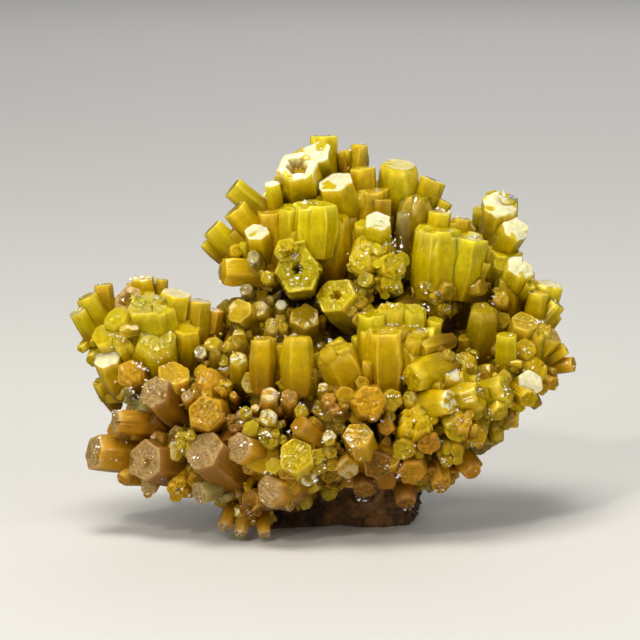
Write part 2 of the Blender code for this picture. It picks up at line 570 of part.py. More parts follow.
def main_piece(mesh):
    """Keeps the largest skin, so that crumbs of a cut and closed pockets inside go."""
    bm = bmesh.new()
    bm.from_mesh(mesh)
    found = sorted(islands(bm), key=island_size)
    for island in found[:-1]:
        bmesh.ops.delete(bm, geom=island, context="FACES")
    bm.to_mesh(mesh)
    bm.free()
    return mesh


def reach_box(mesh):
    """The lowest and highest corner of a mesh."""
    columns = list(zip(*(vert.co for vert in mesh.vertices)))
    return [min(column) for column in columns], [max(column) for column in columns]


def boxes_meet(first, second):
    """Whether two boxes overlap."""
    for axis in range(3):
        if first[0][axis] > second[1][axis] or second[0][axis] > first[1][axis]:
            return False
    return True


def surface_material(name, colour, roughness):
    """A plain surface in the part's own colour."""
    material = bpy.data.materials.new(name)
    material.use_nodes = True
    shader = material.node_tree.nodes["Principled BSDF"]
    shader.inputs["Base Color"].default_value = colour
    shader.inputs["Roughness"].default_value = roughness
    shader.inputs["Metallic"].default_value = 0.0
    return material


def add_node(name, mesh, material):
    """Puts a finished solid in the scene, centred and in metres."""
    mesh.transform(Matrix.Translation((CENTRING_X, CENTRING_Y, 0.0)))
    mesh.transform(Matrix.Scale(METRES_PER_MM, 4))
    mesh.name = name
    mesh.materials.clear()
    mesh.materials.append(material)
    node = bpy.data.objects.new(name, mesh)
    bpy.context.scene.collection.objects.link(node)
    return node


def spray_solid(spray, neighbours):
    """One spray, clear of the matrix and of the sprays before it."""
    shapes = spray_meshes(spray)
    whole = combined(shapes[0], shapes[1:], "UNION")
    own_box = reach_box(whole)
    cutters = [matrix_mesh(GAP)]
    for neighbour in neighbours:
        for mesh in spray_meshes(neighbour, GAP):
            if boxes_meet(reach_box(mesh), own_box):
                cutters.append(mesh)
    return main_piece(combined(whole, cutters, "DIFFERENCE"))


def build():
    """Makes the matrix and the sprays, and adds them to the empty scene."""
    clear_scene()
    rock = surface_material("iron_stained_rock", ROCK_COLOUR, ROCK_ROUGHNESS)
    add_node("matrix", matrix_mesh(), rock)
    for number, spray in enumerate(SPRAYS):
        solid = spray_solid(spray, SPRAYS[:number])
        surface = surface_material(spray.name, spray.colour, CRYSTAL_ROUGHNESS)
        add_node(spray.name, solid, surface)


build()
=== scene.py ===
"""The looks of a pyromorphite specimen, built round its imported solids.

Each spray's crystals stand where its solid has them. They are made again as barrel-shaped prisms with
rounded edges, growth columns and stepped, grainy or hollow ends, with smaller crystals between them.
The rock is the solid's own shape, made rough.

Lengths are in millimetres while the shapes are made, and each finished piece is scaled to metres.
A crystal is placed as the viewer sees it: across to the right and up from the middle of the view,
and towards the viewer. A pair of values is a range, and a pair named as a rise is where a smooth rise
starts and how far it takes.
"""

import json
import math
import random
from collections import namedtuple

import bpy
import numpy as np
from mathutils import Matrix, Vector, noise
from mathutils.bvhtree import BVHTree

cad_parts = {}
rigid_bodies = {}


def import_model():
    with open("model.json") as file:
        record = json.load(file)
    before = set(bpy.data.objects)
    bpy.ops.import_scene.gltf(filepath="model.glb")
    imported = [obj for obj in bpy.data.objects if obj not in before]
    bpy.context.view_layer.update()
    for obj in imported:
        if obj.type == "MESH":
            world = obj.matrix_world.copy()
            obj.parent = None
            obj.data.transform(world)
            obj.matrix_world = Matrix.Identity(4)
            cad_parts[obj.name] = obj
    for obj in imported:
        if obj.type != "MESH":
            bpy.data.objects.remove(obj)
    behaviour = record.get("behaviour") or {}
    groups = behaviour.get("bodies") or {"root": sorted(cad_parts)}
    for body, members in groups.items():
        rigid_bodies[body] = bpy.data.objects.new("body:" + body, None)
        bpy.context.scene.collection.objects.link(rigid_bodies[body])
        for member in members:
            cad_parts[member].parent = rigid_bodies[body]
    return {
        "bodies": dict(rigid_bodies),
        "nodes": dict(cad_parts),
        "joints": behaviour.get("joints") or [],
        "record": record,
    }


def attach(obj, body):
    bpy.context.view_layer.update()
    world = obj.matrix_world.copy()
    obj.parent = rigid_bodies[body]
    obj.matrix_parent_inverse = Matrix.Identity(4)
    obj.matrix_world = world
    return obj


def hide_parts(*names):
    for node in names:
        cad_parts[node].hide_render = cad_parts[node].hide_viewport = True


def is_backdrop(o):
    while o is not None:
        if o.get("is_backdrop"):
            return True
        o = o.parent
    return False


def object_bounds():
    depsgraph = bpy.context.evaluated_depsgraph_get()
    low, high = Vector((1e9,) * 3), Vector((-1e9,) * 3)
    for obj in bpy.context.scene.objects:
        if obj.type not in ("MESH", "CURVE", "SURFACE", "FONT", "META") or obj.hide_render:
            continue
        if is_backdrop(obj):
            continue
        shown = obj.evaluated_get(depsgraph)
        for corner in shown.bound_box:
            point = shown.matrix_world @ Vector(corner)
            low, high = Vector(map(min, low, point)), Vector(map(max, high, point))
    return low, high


# The camera's view, in millimetres unless the name says otherwise
METRES_PER_MM = 0.001
VIEW_TILT = math.radians(10.0)
VIEW_DISTANCE = 350.0
VIEW_WIDTH = 64.0
SENSOR_WIDTH = 36.0
NEAREST_SEEN_M = 0.01
MIDDLE_HEIGHT = 20.2
MIDDLE = Vector((-0.34, 0.52, MIDDLE_HEIGHT))
LIT_SPOT_M = Vector((0.0, 0.0, MIDDLE_HEIGHT * METRES_PER_MM))

# How the solids turn each crystal about its length, in degrees for each millimetre of its place
TURN_ACROSS = 37.0
TURN_UP = 53.0

# The crystals behind each spray: how they lean, and how long they are for their fan
FAN_EDGE = 0.05
FAN_SIDEWAYS = 0.12
FAN_LIFT = 0.35
FAN_LENGTHS = (0.85, 1.10)

# A prism's outline: how uneven its sides are, how sharp its corners, and how fine its grid
SIDES = 6
UNEVEN = 0.12
SHARP_CORNERS = 40.0
SOFT_CORNERS = 15.0
COLUMN_MM = 0.22
SMALL_COLUMN_MM = 0.38
COLUMNS = (18, 66)
ROW_MM = 0.68
SIDE_ROWS = (5, 14)
CAP_ROW_MM = 0.32
FEWEST_CAP_ROWS = 3

# A prism's width along its length, as shares of its full width
ROOT_WIDTH = 0.84
BELLY_PLACE = 0.60
END_WIDTH = 0.95
BLUNT_WIDTH = 0.82

# Edges that turn further than this look sharp
SHARP_ANGLE = math.radians(46.0)

# Relief of the sides, as shares of the radius: the limits of a growth column's offset, stripes, rings
# and waves, and the shelves where columns end early, as shares of the length
OFFSET_LIMITS = (-1.6, 1.2)
STRIPE = 0.007
STEP_RING = 0.006
WOBBLE = 0.030
WOBBLE_LENGTH = 2.2
WOBBLE_CHANGE = 3.0
SHELF_PLACES = (0.55, 1.3)
SHELF_EDGE = 0.05
WAVE_COUNT = 12
WAVE_LENGTHS = (0.6, 1.6)

# Relief of the ends: shares of the rim with how far each drops, the rings inside those, the columns' steps
# and unevenness, and grains
RIM_ROUNDING = ((0.995, 0.070), (0.978, 0.022), (0.945, 0.0))
BLUNT_ROUNDING = ((0.985, 0.190), (0.93, 0.070), (0.85, 0.015))
INNER_RINGS = (0.84, 0.06)
STEP_PLACES = (0.40, 0.88)
HOLLOW_STEP = 0.9
STEP_EDGE = 0.06
RAG_POWER = 1.7
MIDDLE_RISE = (0.97, -0.1)
GRAIN_MM = 0.035
GRAIN_LENGTH = 0.55
LEAST_GRAIN = 0.4
GRAIN_SINK = 0.6

# How a crystal ends
FLAT = "flat"
BLUNT = "blunt"
HOPPER = "hopper"
CORED = "cored"

# Hollow ends: how far they reach from the middle and how deep they are, and how ragged and grainy
PITS = {HOPPER: (0.52, 0.40), CORED: (0.24, 0.50)}
NO_PIT = (0.0, 0.0)
PIT_EDGE = 0.14
PIT_RAG = 0.10
PIT_RAG_LENGTH = 1.1
PIT_GRAIN_MM = 0.09
PIT_GRAIN_LENGTH = 0.6

# Painted highlights on the corners and rims, painted shade at the roots and in hollows, and how each growth
# column and crystal differs
# The corner and rim glow is a painted highlight: pale colour where the edges would catch the light
PAINTED_CORNER_HIGHLIGHT = 0.45
CORNER_RISE = (0.91, 0.05)
PAINTED_RIM_HIGHLIGHT = 0.60
RIM_GAIN = 1.5
RIM_PALE = 0.08
SIDE_RIM_RISE = (0.86, 0.14)
CAP_RIM_RISE = (0.86, 0.12)
PATCH_EDGE = 0.35
# Painted shade: a crystal's colour at its root, darker and browner where it sinks among the others
PAINTED_ROOT_SHADE = (0.46, 0.31, 0.30)
# Painted shade: a hollow end's colour, darker than the body
PAINTED_PIT_SHADE = (0.72, 0.60, 0.80)
COLUMN_SHADES = (0.94, 1.05)
CRYSTAL_SHADES = (0.90, 1.08)
CRYSTAL_GREENS = (0.94, 1.05)

# How far below its end a crystal is darkened as painted shade, and how far it takes to reach its full
# colour, in widths
DARK_BELOW = 1.75
LIGHTENING = 1.45

# Each shape's place in the noise that its surface reads
NOISE_PLACES = (-50.0, 50.0)

# How a crystal has grown: growth columns that stand out or in, by how much their tops differ,
# and how many grid columns each takes
Habit = namedtuple("Habit", "offset rag columns_each")
SOLID = Habit(0.014, 0.04, 9)
BUNDLE = Habit(0.042, 0.13, 6)
CRUST = Habit(0.030, 0.08, 4)

# Body colours, as linear red, green and blue
LEMON = (0.62, 0.480, 0.001)
GOLD = (0.58, 0.400, 0.001)
AMBER = (0.57, 0.325, 0.003)
OLIVE = (0.46, 0.31, 0.003)
MOSS = (0.31, 0.20, 0.003)
HONEY = (0.46, 0.23, 0.010)
BROWN = (0.27, 0.115, 0.008)
ASH = (0.32, 0.25, 0.07)
# Painted glint colour for the tiny mirror-like faces
PAINTED_GLINT_TONE = (0.95, 0.90, 0.66)

# Surfaces of the ends: a colour for the end or none, how much of it shows, how grainy it is, and
# the size of its patches in millimetres with how much of the end they cover
Cap = namedtuple("Cap", "tone share grainy patch_mm cover")
PLAIN = Cap(None, 0.0, 0.0, 1.0, 0.0)
ROUGH = Cap(None, 0.0, 1.0, 1.0, 0.0)
# Painted reflection: the overhead panel mirrored in flat ends, painted as a near-white colour
WHITE = Cap((0.95, 0.91, 0.62), 0.92, 0.0, 2.4, 1.3)
# Grainy ends with painted sparkle: a pale colour for light glinting off their grains
GRAINY_PAINTED_SPARKLE = Cap((0.95, 0.91, 0.70), 0.80, 0.8, 0.8, 0.0)
BUFF = Cap((0.50, 0.33, 0.15), 0.85, 1.0, 2.0, 1.6)
ASHEN = Cap((0.60, 0.52, 0.28), 0.60, 0.5, 1.6, 0.6)

FAN_FORMS = (FLAT, FLAT, BLUNT)
FAN_CAPS = (PLAIN, ROUGH, PLAIN, WHITE)
FAN_HABITS = (SOLID, BUNDLE)
FILLING_CAPS = (PLAIN, ROUGH, ROUGH, ROUGH)
FILLING_FORMS = (BLUNT, FLAT, BLUNT)
COMPANION_FORMS = (FLAT, BLUNT)

CRYSTAL_FIELDS = "across up toward aim width length form tone cap habit"
Crystal = namedtuple("Crystal", CRYSTAL_FIELDS, defaults=(PLAIN, SOLID))
Growth = namedtuple("Growth", "turn outline group level step shade")
Skin = namedtuple("Skin", "root body glow own cap")
Fan = namedtuple("Fan", "heart reach count widths length seed")
Filling = namedtuple("Filling", "tones count widths")
Spray = namedtuple("Spray", "node slot rows fans fan_tones filling seed")
Shapes = namedtuple("Shapes", "points tones places grainy quads triangles")
Light = namedtuple("Light", "name spot size power colour mirrored")
Layer = namedtuple("Layer", "scale detail shades strength height_mm")

# The massive crystal inside a spray's solid: how far inside it lies in millimetres, and its unevenness as
# fineness, smoothness, the step between octaves and their number. Then how it is kept inside the prisms,
# as shares of their sizes, and how its colour varies
CORE_INSET = 0.34
CORE_ROUGHNESS = 0.30
LEAST_INSET = 0.1
INSET_NOISE = (1.4, 0.8, 2.0, 3)
CORE_AXIS = 0.52
CORE_LENGTH = 0.8
CORE_SHRINK = 0.55
CORE_BELOW_END = 0.45
CORE_CLOUD = 0.8
CORE_MIDDLE = 0.5
CORE_CONTRAST = 0.35

# The rock: its grid, its lumps and crumbs as height, fineness and smoothness, the step between their
# octaves and how many there are, how far the surface sinks, and what is flattened to the underside
ROCK_VOXEL_MM = 0.42
ROCK_LUMPS = (0.75, 0.40, 0.8)
ROCK_CRUMBS = (0.45, 1.6, 0.7)
ROCK_OCTAVES = (2.1, 4)
ROCK_SINK = 0.60
ROCK_FLAT_BELOW = 0.6 * ROCK_VOXEL_MM

# Crystals on the rock start this high, thin out over this height, and are fine below this width
ROCK_BARE_MM = 2.5
ROCK_THINNING_MM = 14.0
FINE_WIDTH_MM = 0.6

# Prisms are made a little wider than their solids where they stay inside the solids' box,
# and those that stand in front of others more so, so that they grow into each other
WIDENING = 1.10
WIDENING_IN_FRONT = 1.24
IN_FRONT_MM = 1.2
WIDEST_WIDENED = 4.6

# Smaller crystals beside each main one, as shares of its width unless the name says otherwise
COMPANIONS = 4
COMPANION_WIDTHS = (0.40, 0.72)
COMPANION_REACH = (0.72, 0.92)
COMPANION_DROPS = (0.25, 1.10)
COMPANION_LENGTH = 2.0
COMPANION_SPACE = 0.55
COMPANION_SHADES = (0.78, 0.98)
COMPANION_LEAN = math.radians(11.0)
THINNEST_COMPANION = 1.0
ROUGH_SHARE = 0.5
MOST_IN_FRONT = 0.35
NEAR_SOLID_MM = 0.75
NEAR_SOLID = 0.2
INSIDE_AXIS = 0.42
INSIDE_BELOW = 0.1

# The ring of crystals that makes a crust, as shares of the width of the crystal under it
RING_COUNT = 4
RING_TURN = 0.2
RING_WIDTHS = (0.56, 0.76)
RING_REACH = 0.30
RING_DROPS = (-0.08, 0.22)
RING_LEAN = (math.radians(1.0), math.radians(11.0))
RING_LENGTH = 2.2
RING_HOLLOW = 0.22

# Where crystals stand between the main ones: places tried for each, how their aims and sizes vary,
# the room they need, in widths and millimetres, and the part of a main crystal that stays free
TRIES_EACH = 14
AIM_SPREAD = 0.30
SIZE_POWER = 1.4
SPACING = 0.42
ROOM_WIDTHS = 0.8
ROOM_MM = 0.5
CLEAR_MM = 0.08
FREE_AXIS = 0.56
FREE_LENGTH = 0.80
FREE_WIDTHS = 1.3
ABOVE_END_MM = 0.3

# Middle-sized ones: how dark they are, and how far out and how deep they stand, in widths
FILLING_SHADES = (0.70, 1.05)
FILLING_TOPS = (0.25, 0.75)
FILLING_DEPTH = 0.75

# The finest ones: rings of one, as radius and height, how their lengths, colours and places vary, how
# dark their roots are painted as shade, and how grainy they look
BEVELLED_RINGS = ((0.44, -1.0), (0.5, -0.14), (0.38, 0.0))
DRUSE_LENGTHS = (1.1, 2.2)
DRUSE_SHADES = (0.6, 1.15)
DRUSE_TOPS = (0.3, 0.8)
PAINTED_DRUSE_ROOT_SHADE = 0.5
DRUSE_GRAIN = 0.3

# How far a small crystal may be from the shapes that are seen before it is left out, how deep below it
# the solids are felt, and how thick they have to be there, in its widths
FURTHEST_SEAT_MM = 0.9
FELT_MM = 0.9
THINNEST_HOST = 0.9

# Bright glints, tiny faces turned to the panel and painted pale as glints: their widths in millimetres, how
# many there are, how they cluster and how far down the sides they go, in crystal widths, and how far a
# mirror-like face may be turned from the panel. The last five are a glint's shape, as shares of its own
# width
GLINT_WIDTHS = (0.08, 0.46)
GLINT_POWER = 1.6
GLINTS_EACH = 5
GLINTS_PER_MM = 6.0
GLINT_SHARES = (0.2, 1.0)
GLINT_CLUSTER = 0.13
GLINT_PLACES = (0.0, 0.40)
GLINTS_BESIDE = 0.4
GLINT_RIM = 0.47
GLINT_SIDE = 0.49
GLINT_DEPTH = 1.3
GLINT_ABOVE_MM = 0.04
GLINT_TURN = 0.09
GLINT_TIP = 0.6
GLINT_BACK = 0.4
GLINT_HALF = 0.5
GLINT_THICK = 0.7
GLINT_NARROWING = (0.4, 1.0)

# Lights: where each stands and how big it is, in metres, its power in watts, its colour, and whether shiny
# faces mirror it
WARM_WHITE = (1.0, 0.965, 0.88)
WHITE_LIGHT = (1.0, 1.0, 1.0)
PANEL_AT = (-0.05, -0.08, 0.42)
LIGHTS = (
    Light("overhead_panel", PANEL_AT, (0.20, 0.18), 1.24, WARM_WHITE, True),
    Light("front_panel", (-0.26, -0.50, 0.30), (0.50, 0.50), 0.36, WHITE_LIGHT, False),
    Light("left_strip", (-0.28, -0.34, 0.16), (0.045, 0.30), 0.50, WARM_WHITE, True),
    Light("right_strip", (0.34, -0.26, 0.16), (0.02, 0.30), 0.16, WARM_WHITE, True),
    Light("key_lamp", (-0.16, -0.30, 0.34), (0.03, 0.03), 0.45, WARM_WHITE, True),
    Light("side_panel", (0.50, -0.30, 0.22), (0.35, 0.40), 0.35, WHITE_LIGHT, False),
    Light("back_panel", (0.10, 0.55, 0.35), (0.50, 0.40), 0.80, WHITE_LIGHT, True),
    Light("room_panel", (0.0, 0.30, 1.70), (2.2, 2.2), 4.15, WHITE_LIGHT, False),
)
SURROUND = {"Color": (0.86, 0.86, 0.85, 1.0), "Strength": 0.12}
FLOOR_HALF_M = 3.0
FLOOR = {"Base Color": (0.72, 0.71, 0.69, 1.0), "Roughness": 0.75}

# Noise: its usual range and roughness. A crystal's layers of it: how fine it is across and along, its
# detail, how it shades the colour, and its bump's strength and height
NOISE_RANGE = (0.3, 0.7)
NOISE_ROUGHNESS = 0.6
LINES = Layer((8.0, 8.0, 0.8), 3.0, (0.96, 1.04), 0.35, 0.06)
CLOUDS = Layer((0.7, 0.7, 0.45), 4.0, (0.78, 1.16), 0.25, 0.35)
RIPPLES = Layer((2.2, 2.2, 1.6), 2.0, (0.90, 1.08), 0.85, 0.10)
YELLOW_SPECKS = Layer((5.5, 5.5, 5.5), 4.0, (0.74, 1.16), 0.90, 0.14)
BROWN_SPECKS = YELLOW_SPECKS._replace(shades=(0.40, 1.40))
YELLOW_GLOW = 0.75
BROWN_GLOW = 0.55
GLOSS = (0.03, 0.10)
GRAINY_DULLNESS = 0.10
SPECKS_EVERYWHERE = 0.45
SPECKS_ON_GRAINS = 0.55
CRYSTAL = {
    "IOR": 1.66,
    "Specular Tint": (1.0, 0.86, 0.14, 1.0),
    "Subsurface Radius": (0.8, 0.9, 0.1),
    "Subsurface Scale": 1.1 * METRES_PER_MM,
    "Subsurface Anisotropy": 0.4,
    "Coat Weight": 0.70,
    "Coat Roughness": 0.03,
}

# The rock's noise, for each metre, and its colours from dark to ochre with the places where they stand
PATCHES = Layer((260.0, 260.0, 260.0), 5.0, None, 0.5, 0.5)
GRAINS = Layer((2600.0, 2600.0, 2600.0), 3.0, (0.55, 1.45), 0.6, 0.15)
ROCK_DULLNESS = (0.62, 0.92)
ROCK_COLOURS = (
    (0.36, (0.030, 0.014, 0.006, 1.0)),
    (0.52, (0.090, 0.040, 0.012, 1.0)),
    (0.66, (0.23, 0.105, 0.022, 1.0)),
)

# The crystals, a row each: across, up, toward, aim, width, length, form and tone, then the cap where it
# isn't plain and the habit where it isn't solid
CROWN_CRYSTALS = (
    # The row along the top, from left to right
    (0.4, 18.5, -3, (0, 1, 0.1), 3.6, 9, FLAT, LEMON),
    (-0.4, 16.8, -0.5, (-0.25, 0.58, 0.78), 3.7, 8, FLAT, LEMON, WHITE),
    (-2.3, 15.5, 1.5, (-0.1, 0.62, 0.78), 4, 7.5, HOPPER, LEMON, WHITE),
    (-4.8, 13.7, 1, (-0.15, 0.93, 0.35), 1.9, 8, FLAT, LEMON, WHITE),
    (1.5, 13.9, 1.5, (-0.25, 0.8, 0.5), 3.4, 6.5, FLAT, LEMON, WHITE),
    (2.5, 17, -2.5, (-0.05, 1, 0.2), 1.4, 6.5, BLUNT, GOLD, ROUGH, CRUST),
    (4, 17.6, -3, (0.05, 1, 0.1), 2, 8, FLAT, GOLD),
    (4.3, 15.4, -0.5, (0, 0.98, 0.2), 2.8, 7, FLAT, GOLD, PLAIN, BUNDLE),
    (8, 15.6, -1, (0.05, 0.9, 0.43), 4.8, 9, BLUNT, LEMON),
    (11.3, 14.1, -1.5, (0.35, 0.93, 0.1), 2.8, 8, FLAT, LEMON),
    # The left edge, where prisms point up and to the left
    (-8.8, 13.3, 0, (-0.77, 0.6, 0.2), 2.6, 8, FLAT, LEMON),
    (-8.6, 11.1, 1, (-0.62, 0.75, 0.2), 2.9, 6.5, FLAT, GOLD),
    (-10.9, 9.3, 1, (-0.7, 0.7, 0.15), 2.4, 8, FLAT, LEMON),
    (-10.1, 4.8, 2, (-0.95, 0, 0.3), 2.7, 7.5, FLAT, GOLD, PLAIN, BUNDLE),
    # The face of the crown, which looks at the viewer
    (-2.8, 11.5, 3, (0, 0.98, 0.2), 2.6, 5.6, FLAT, LEMON, PLAIN, BUNDLE),
    (-0.6, 11.8, 3.6, (0.03, 0.98, 0.2), 4.3, 5.4, FLAT, LEMON, ROUGH, BUNDLE),
    (-6.3, 8.9, 3, (-0.1, 0.75, 0.64), 2.6, 6, FLAT, LEMON, WHITE),
    (-3.4, 7.1, 6.1, (-0.06, 0.12, 0.99), 2.6, 5, BLUNT, LEMON, ROUGH),
    (-2.3, 5.2, 6, (-0.05, 0.1, 0.99), 5.9, 8, CORED, LEMON, ROUGH, BUNDLE),
    (-5.4, 4.3, 5, (-0.2, 0.1, 0.97), 1.5, 5, BLUNT, GOLD, ROUGH),
    (5.9, 10, 4.5, (0.1, 0.75, 0.65), 2.8, 6, FLAT, LEMON, WHITE, BUNDLE),
    (5.6, 7.7, 4.6, (0.05, 0.45, 0.89), 5.2, 7, BLUNT, LEMON, ROUGH, BUNDLE),
    (3.8, 6, 5.8, (-0.3, 0.2, 0.93), 2.7, 6.5, BLUNT, LEMON, ROUGH, BUNDLE),
    (7.4, 5.6, 5.7, (0.25, 0.15, 0.95), 2.9, 6.5, BLUNT, LEMON, ROUGH, BUNDLE),
    (7.2, 3.7, 5.3, (0.15, -0.1, 0.98), 2.4, 6.5, BLUNT, LEMON, ROUGH, BUNDLE),
    (4.3, 3.3, 4.8, (-0.1, -0.1, 0.99), 2.2, 6, BLUNT, OLIVE, ROUGH, CRUST),
    (2.7, 10.4, 0.5, (0, 0.95, 0.25), 2.8, 6, BLUNT, OLIVE),
    (6, 12.2, 0.5, (0.05, 0.97, 0.2), 2.6, 7, FLAT, OLIVE),
    (8.3, 10.7, 3.5, (0, 0.9, 0.4), 1.4, 5, BLUNT, ASH),
    (12, 9.2, 2.7, (0.08, 0.95, 0.22), 6.2, 7, FLAT, LEMON, PLAIN, BUNDLE),
    (14.7, 8.7, 2.5, (0.18, 0.93, 0.25), 5, 6.5, FLAT, LEMON, PLAIN, BUNDLE),
    (1.6, 10.6, 2.2, (0.1, 0.93, 0.35), 3.6, 7, BLUNT, GOLD, PLAIN, BUNDLE),
    (-4.9, 11, 1.6, (-0.15, 0.95, 0.28), 3, 7, FLAT, GOLD, PLAIN, BUNDLE),
    (5.2, 13.2, 0, (0.03, 0.97, 0.25), 3.8, 7, FLAT, GOLD, PLAIN, BUNDLE),
    (9.7, 12.6, -0.4, (0.1, 0.95, 0.3), 4.2, 7.5, BLUNT, OLIVE, PLAIN, BUNDLE),
    (12, 10.9, 0.5, (0.1, 0.97, 0.2), 2.6, 7, FLAT, LEMON, ASHEN),
    (14.2, 10.2, 0, (0.2, 0.95, 0.2), 2.2, 7, FLAT, GOLD),
    (15.6, 8.3, 2, (0.2, 0.95, 0.2), 2, 6.5, BLUNT, LEMON, ASHEN),
    # The lower edge of the crown
    (1.5, 2.5, 5, (-0.4, 0.4, 0.82), 3.9, 7, CORED, LEMON, ROUGH),
    (4, 0.9, 5.5, (0, 0.1, 1), 3, 7, BLUNT, OLIVE, ROUGH, CRUST),
    (10.9, 3.4, 3.8, (0.35, 0.1, 0.93), 1.5, 5, BLUNT, GOLD, ROUGH, CRUST),
    (11.8, 2.1, 3.6, (0.4, -0.1, 0.92), 1.5, 5, BLUNT, GOLD, ROUGH, CRUST),
    (12.6, 0.9, 3.2, (0.45, -0.2, 0.88), 1.4, 5, BLUNT, GOLD, ROUGH, CRUST),
    # Small ones that the solids leave out
    (-6.7, 6.3, 4, (-0.3, 0.2, 0.93), 1.3, 4.5, FLAT, ASH, ASHEN),
)

LEFT_CRYSTALS = (
    (-23.4, 2.4, 2, (-0.42, 0.88, 0.2), 2.7, 7, FLAT, LEMON),
    (-24.3, 0.9, 3, (-0.45, 0.82, 0.35), 2.2, 6.5, FLAT, LEMON, ASHEN),
    (-21.7, 3.6, 0.5, (-0.1, 0.98, 0.15), 2.2, 7, FLAT, GOLD),
    (-19.3, 2, 3.5, (-0.3, 0.5, 0.8), 3.2, 6.5, HOPPER, GOLD, BUFF),
    (-17.7, 4.3, 1, (-0.1, 0.93, 0.35), 2.6, 7, FLAT, GOLD, GRAINY_PAINTED_SPARKLE, BUNDLE),
    (-15.8, 4.1, 0, (0.05, 0.99, 0.1), 1.5, 7, FLAT, GOLD),
    (-16.9, 1.6, 5, (-0.1, 0.88, 0.46), 6, 8, FLAT, LEMON, ROUGH, BUNDLE),
    (-16.4, -1.7, 6.2, (0.05, 0.62, 0.78), 5.4, 6, BLUNT, LEMON, ROUGH),
    (-17, 2.4, 3.6, (0, 0.9, 0.4), 4, 7, FLAT, LEMON, PLAIN, BUNDLE),
    # Lobes of the bright mass that the solids leave out
    (-20.6, 0.6, 4.6, (-0.35, 0.75, 0.56), 3, 6.5, BLUNT, LEMON, PLAIN, BUNDLE),
    (-21.6, -1.4, 4.4, (-0.45, 0.62, 0.64), 2.8, 6, FLAT, LEMON),
    (-19.8, -1.6, 5.6, (-0.3, 0.55, 0.78), 3, 6, BLUNT, LEMON, ROUGH, BUNDLE),
    (-13.4, -0.6, 4.4, (0.1, 0.85, 0.52), 3, 6.5, FLAT, GOLD, PLAIN, BUNDLE),
    (-14.4, 2.7, 3.4, (0.15, 0.93, 0.3), 2.9, 7.5, FLAT, LEMON),
    (-12, 2, 2.8, (0.12, 0.97, 0.2), 2.3, 7.5, FLAT, GOLD),
    (-10.5, 1.1, 2, (0.15, 0.97, 0.2), 1.7, 6.5, FLAT, AMBER),
    (-21.3, -3.6, 4.6, (-0.3, 0.72, 0.62), 2.8, 5, FLAT, GOLD, WHITE),
    (-19, -5.4, 7, (-0.1, 0.1, 0.98), 3.1, 6.5, BLUNT, AMBER, ROUGH),
    (-14.5, -5.2, 7.6, (0.05, 0.75, 0.65), 3.1, 6, FLAT, AMBER),
    # Small ones that the solids leave out
    (-19.3, -7.3, 7, (-0.1, -0.1, 0.98), 1.3, 5, BLUNT, ASH, ROUGH),
)

RIGHT_CRYSTALS = (
    (18, 11.7, -0.9, (0, 0.7, 0.71), 4.2, 10, FLAT, LEMON, WHITE, BUNDLE),
    (18.9, 12.3, -1.4, (0.15, 0.8, 0.58), 2.4, 8, BLUNT, LEMON, GRAINY_PAINTED_SPARKLE),
    (19.7, 9.2, 0.2, (0.38, 0.52, 0.76), 3.2, 8.5, FLAT, LEMON, WHITE, BUNDLE),
    (20.1, 5.4, 1.5, (0.25, 0.65, 0.72), 2.9, 8, FLAT, LEMON, WHITE, BUNDLE),
    (18.9, 4.6, 0.2, (0.05, 0.9, 0.43), 3.4, 8, BLUNT, GOLD, PLAIN, BUNDLE),
    (21.9, 2.8, 1, (0.15, 0.93, 0.3), 2.2, 6.5, FLAT, LEMON),
    (22.8, 3.7, -0.6, (0.25, 0.93, 0.25), 3.5, 7.5, FLAT, LEMON, PLAIN, BUNDLE),
    (23.8, 1.7, 0, (0.6, 0.75, 0.2), 2, 6, FLAT, LEMON),
    (18.6, 7, -1.6, (0.1, 0.9, 0.4), 3.6, 8, FLAT, LEMON, PLAIN, BUNDLE),
    (15.7, 4, -2, (0.1, 0.98, 0.1), 4, 7, FLAT, MOSS),
    (18.1, 2.2, 3, (0, 0.2, 0.98), 1.8, 6, BLUNT, OLIVE, ROUGH),
    (16.4, 1.2, 3.4, (0.05, 0.88, 0.45), 3.1, 6.5, BLUNT, OLIVE),
    (20.4, -0.1, 4, (0.1, 0.7, 0.7), 2.5, 6, FLAT, GOLD, ROUGH),
    (18.7, -1.4, 6, (0, 0.95, 0.3), 2, 6, FLAT, LEMON),
    (20.8, -2.7, 5, (0.3, 0.4, 0.87), 2.4, 6, BLUNT, GOLD, ROUGH),
    (23.1, -1.4, 3, (0.5, 0.7, 0.5), 2.4, 6, FLAT, GOLD),
    (22, -0.6, 3.4, (0.2, 0.75, 0.63), 3.4, 6.5, BLUNT, GOLD, ROUGH, BUNDLE),
    (21.8, -4.6, 5.2, (0.35, 0.45, 0.82), 3.2, 6, BLUNT, GOLD, PLAIN, BUNDLE),
    (25.4, -4.4, 1.5, (0.9, 0.1, 0.4), 1.9, 6, FLAT, AMBER),
    (21.1, -6.3, 6.5, (0.3, 0.2, 0.93), 2.6, 6.5, FLAT, GOLD, WHITE),
    (23.5, -6.4, 3, (0.7, -0.3, 0.65), 1.7, 5, BLUNT, AMBER, ROUGH),
    # Small ones that the solids leave out
    (24.6, -2.8, 2, (0.8, 0.5, 0.2), 1.3, 5, FLAT, GOLD),
    (22.4, -7.1, 4, (0.5, -0.5, 0.7), 1.3, 5, BLUNT, AMBER, ROUGH),
)

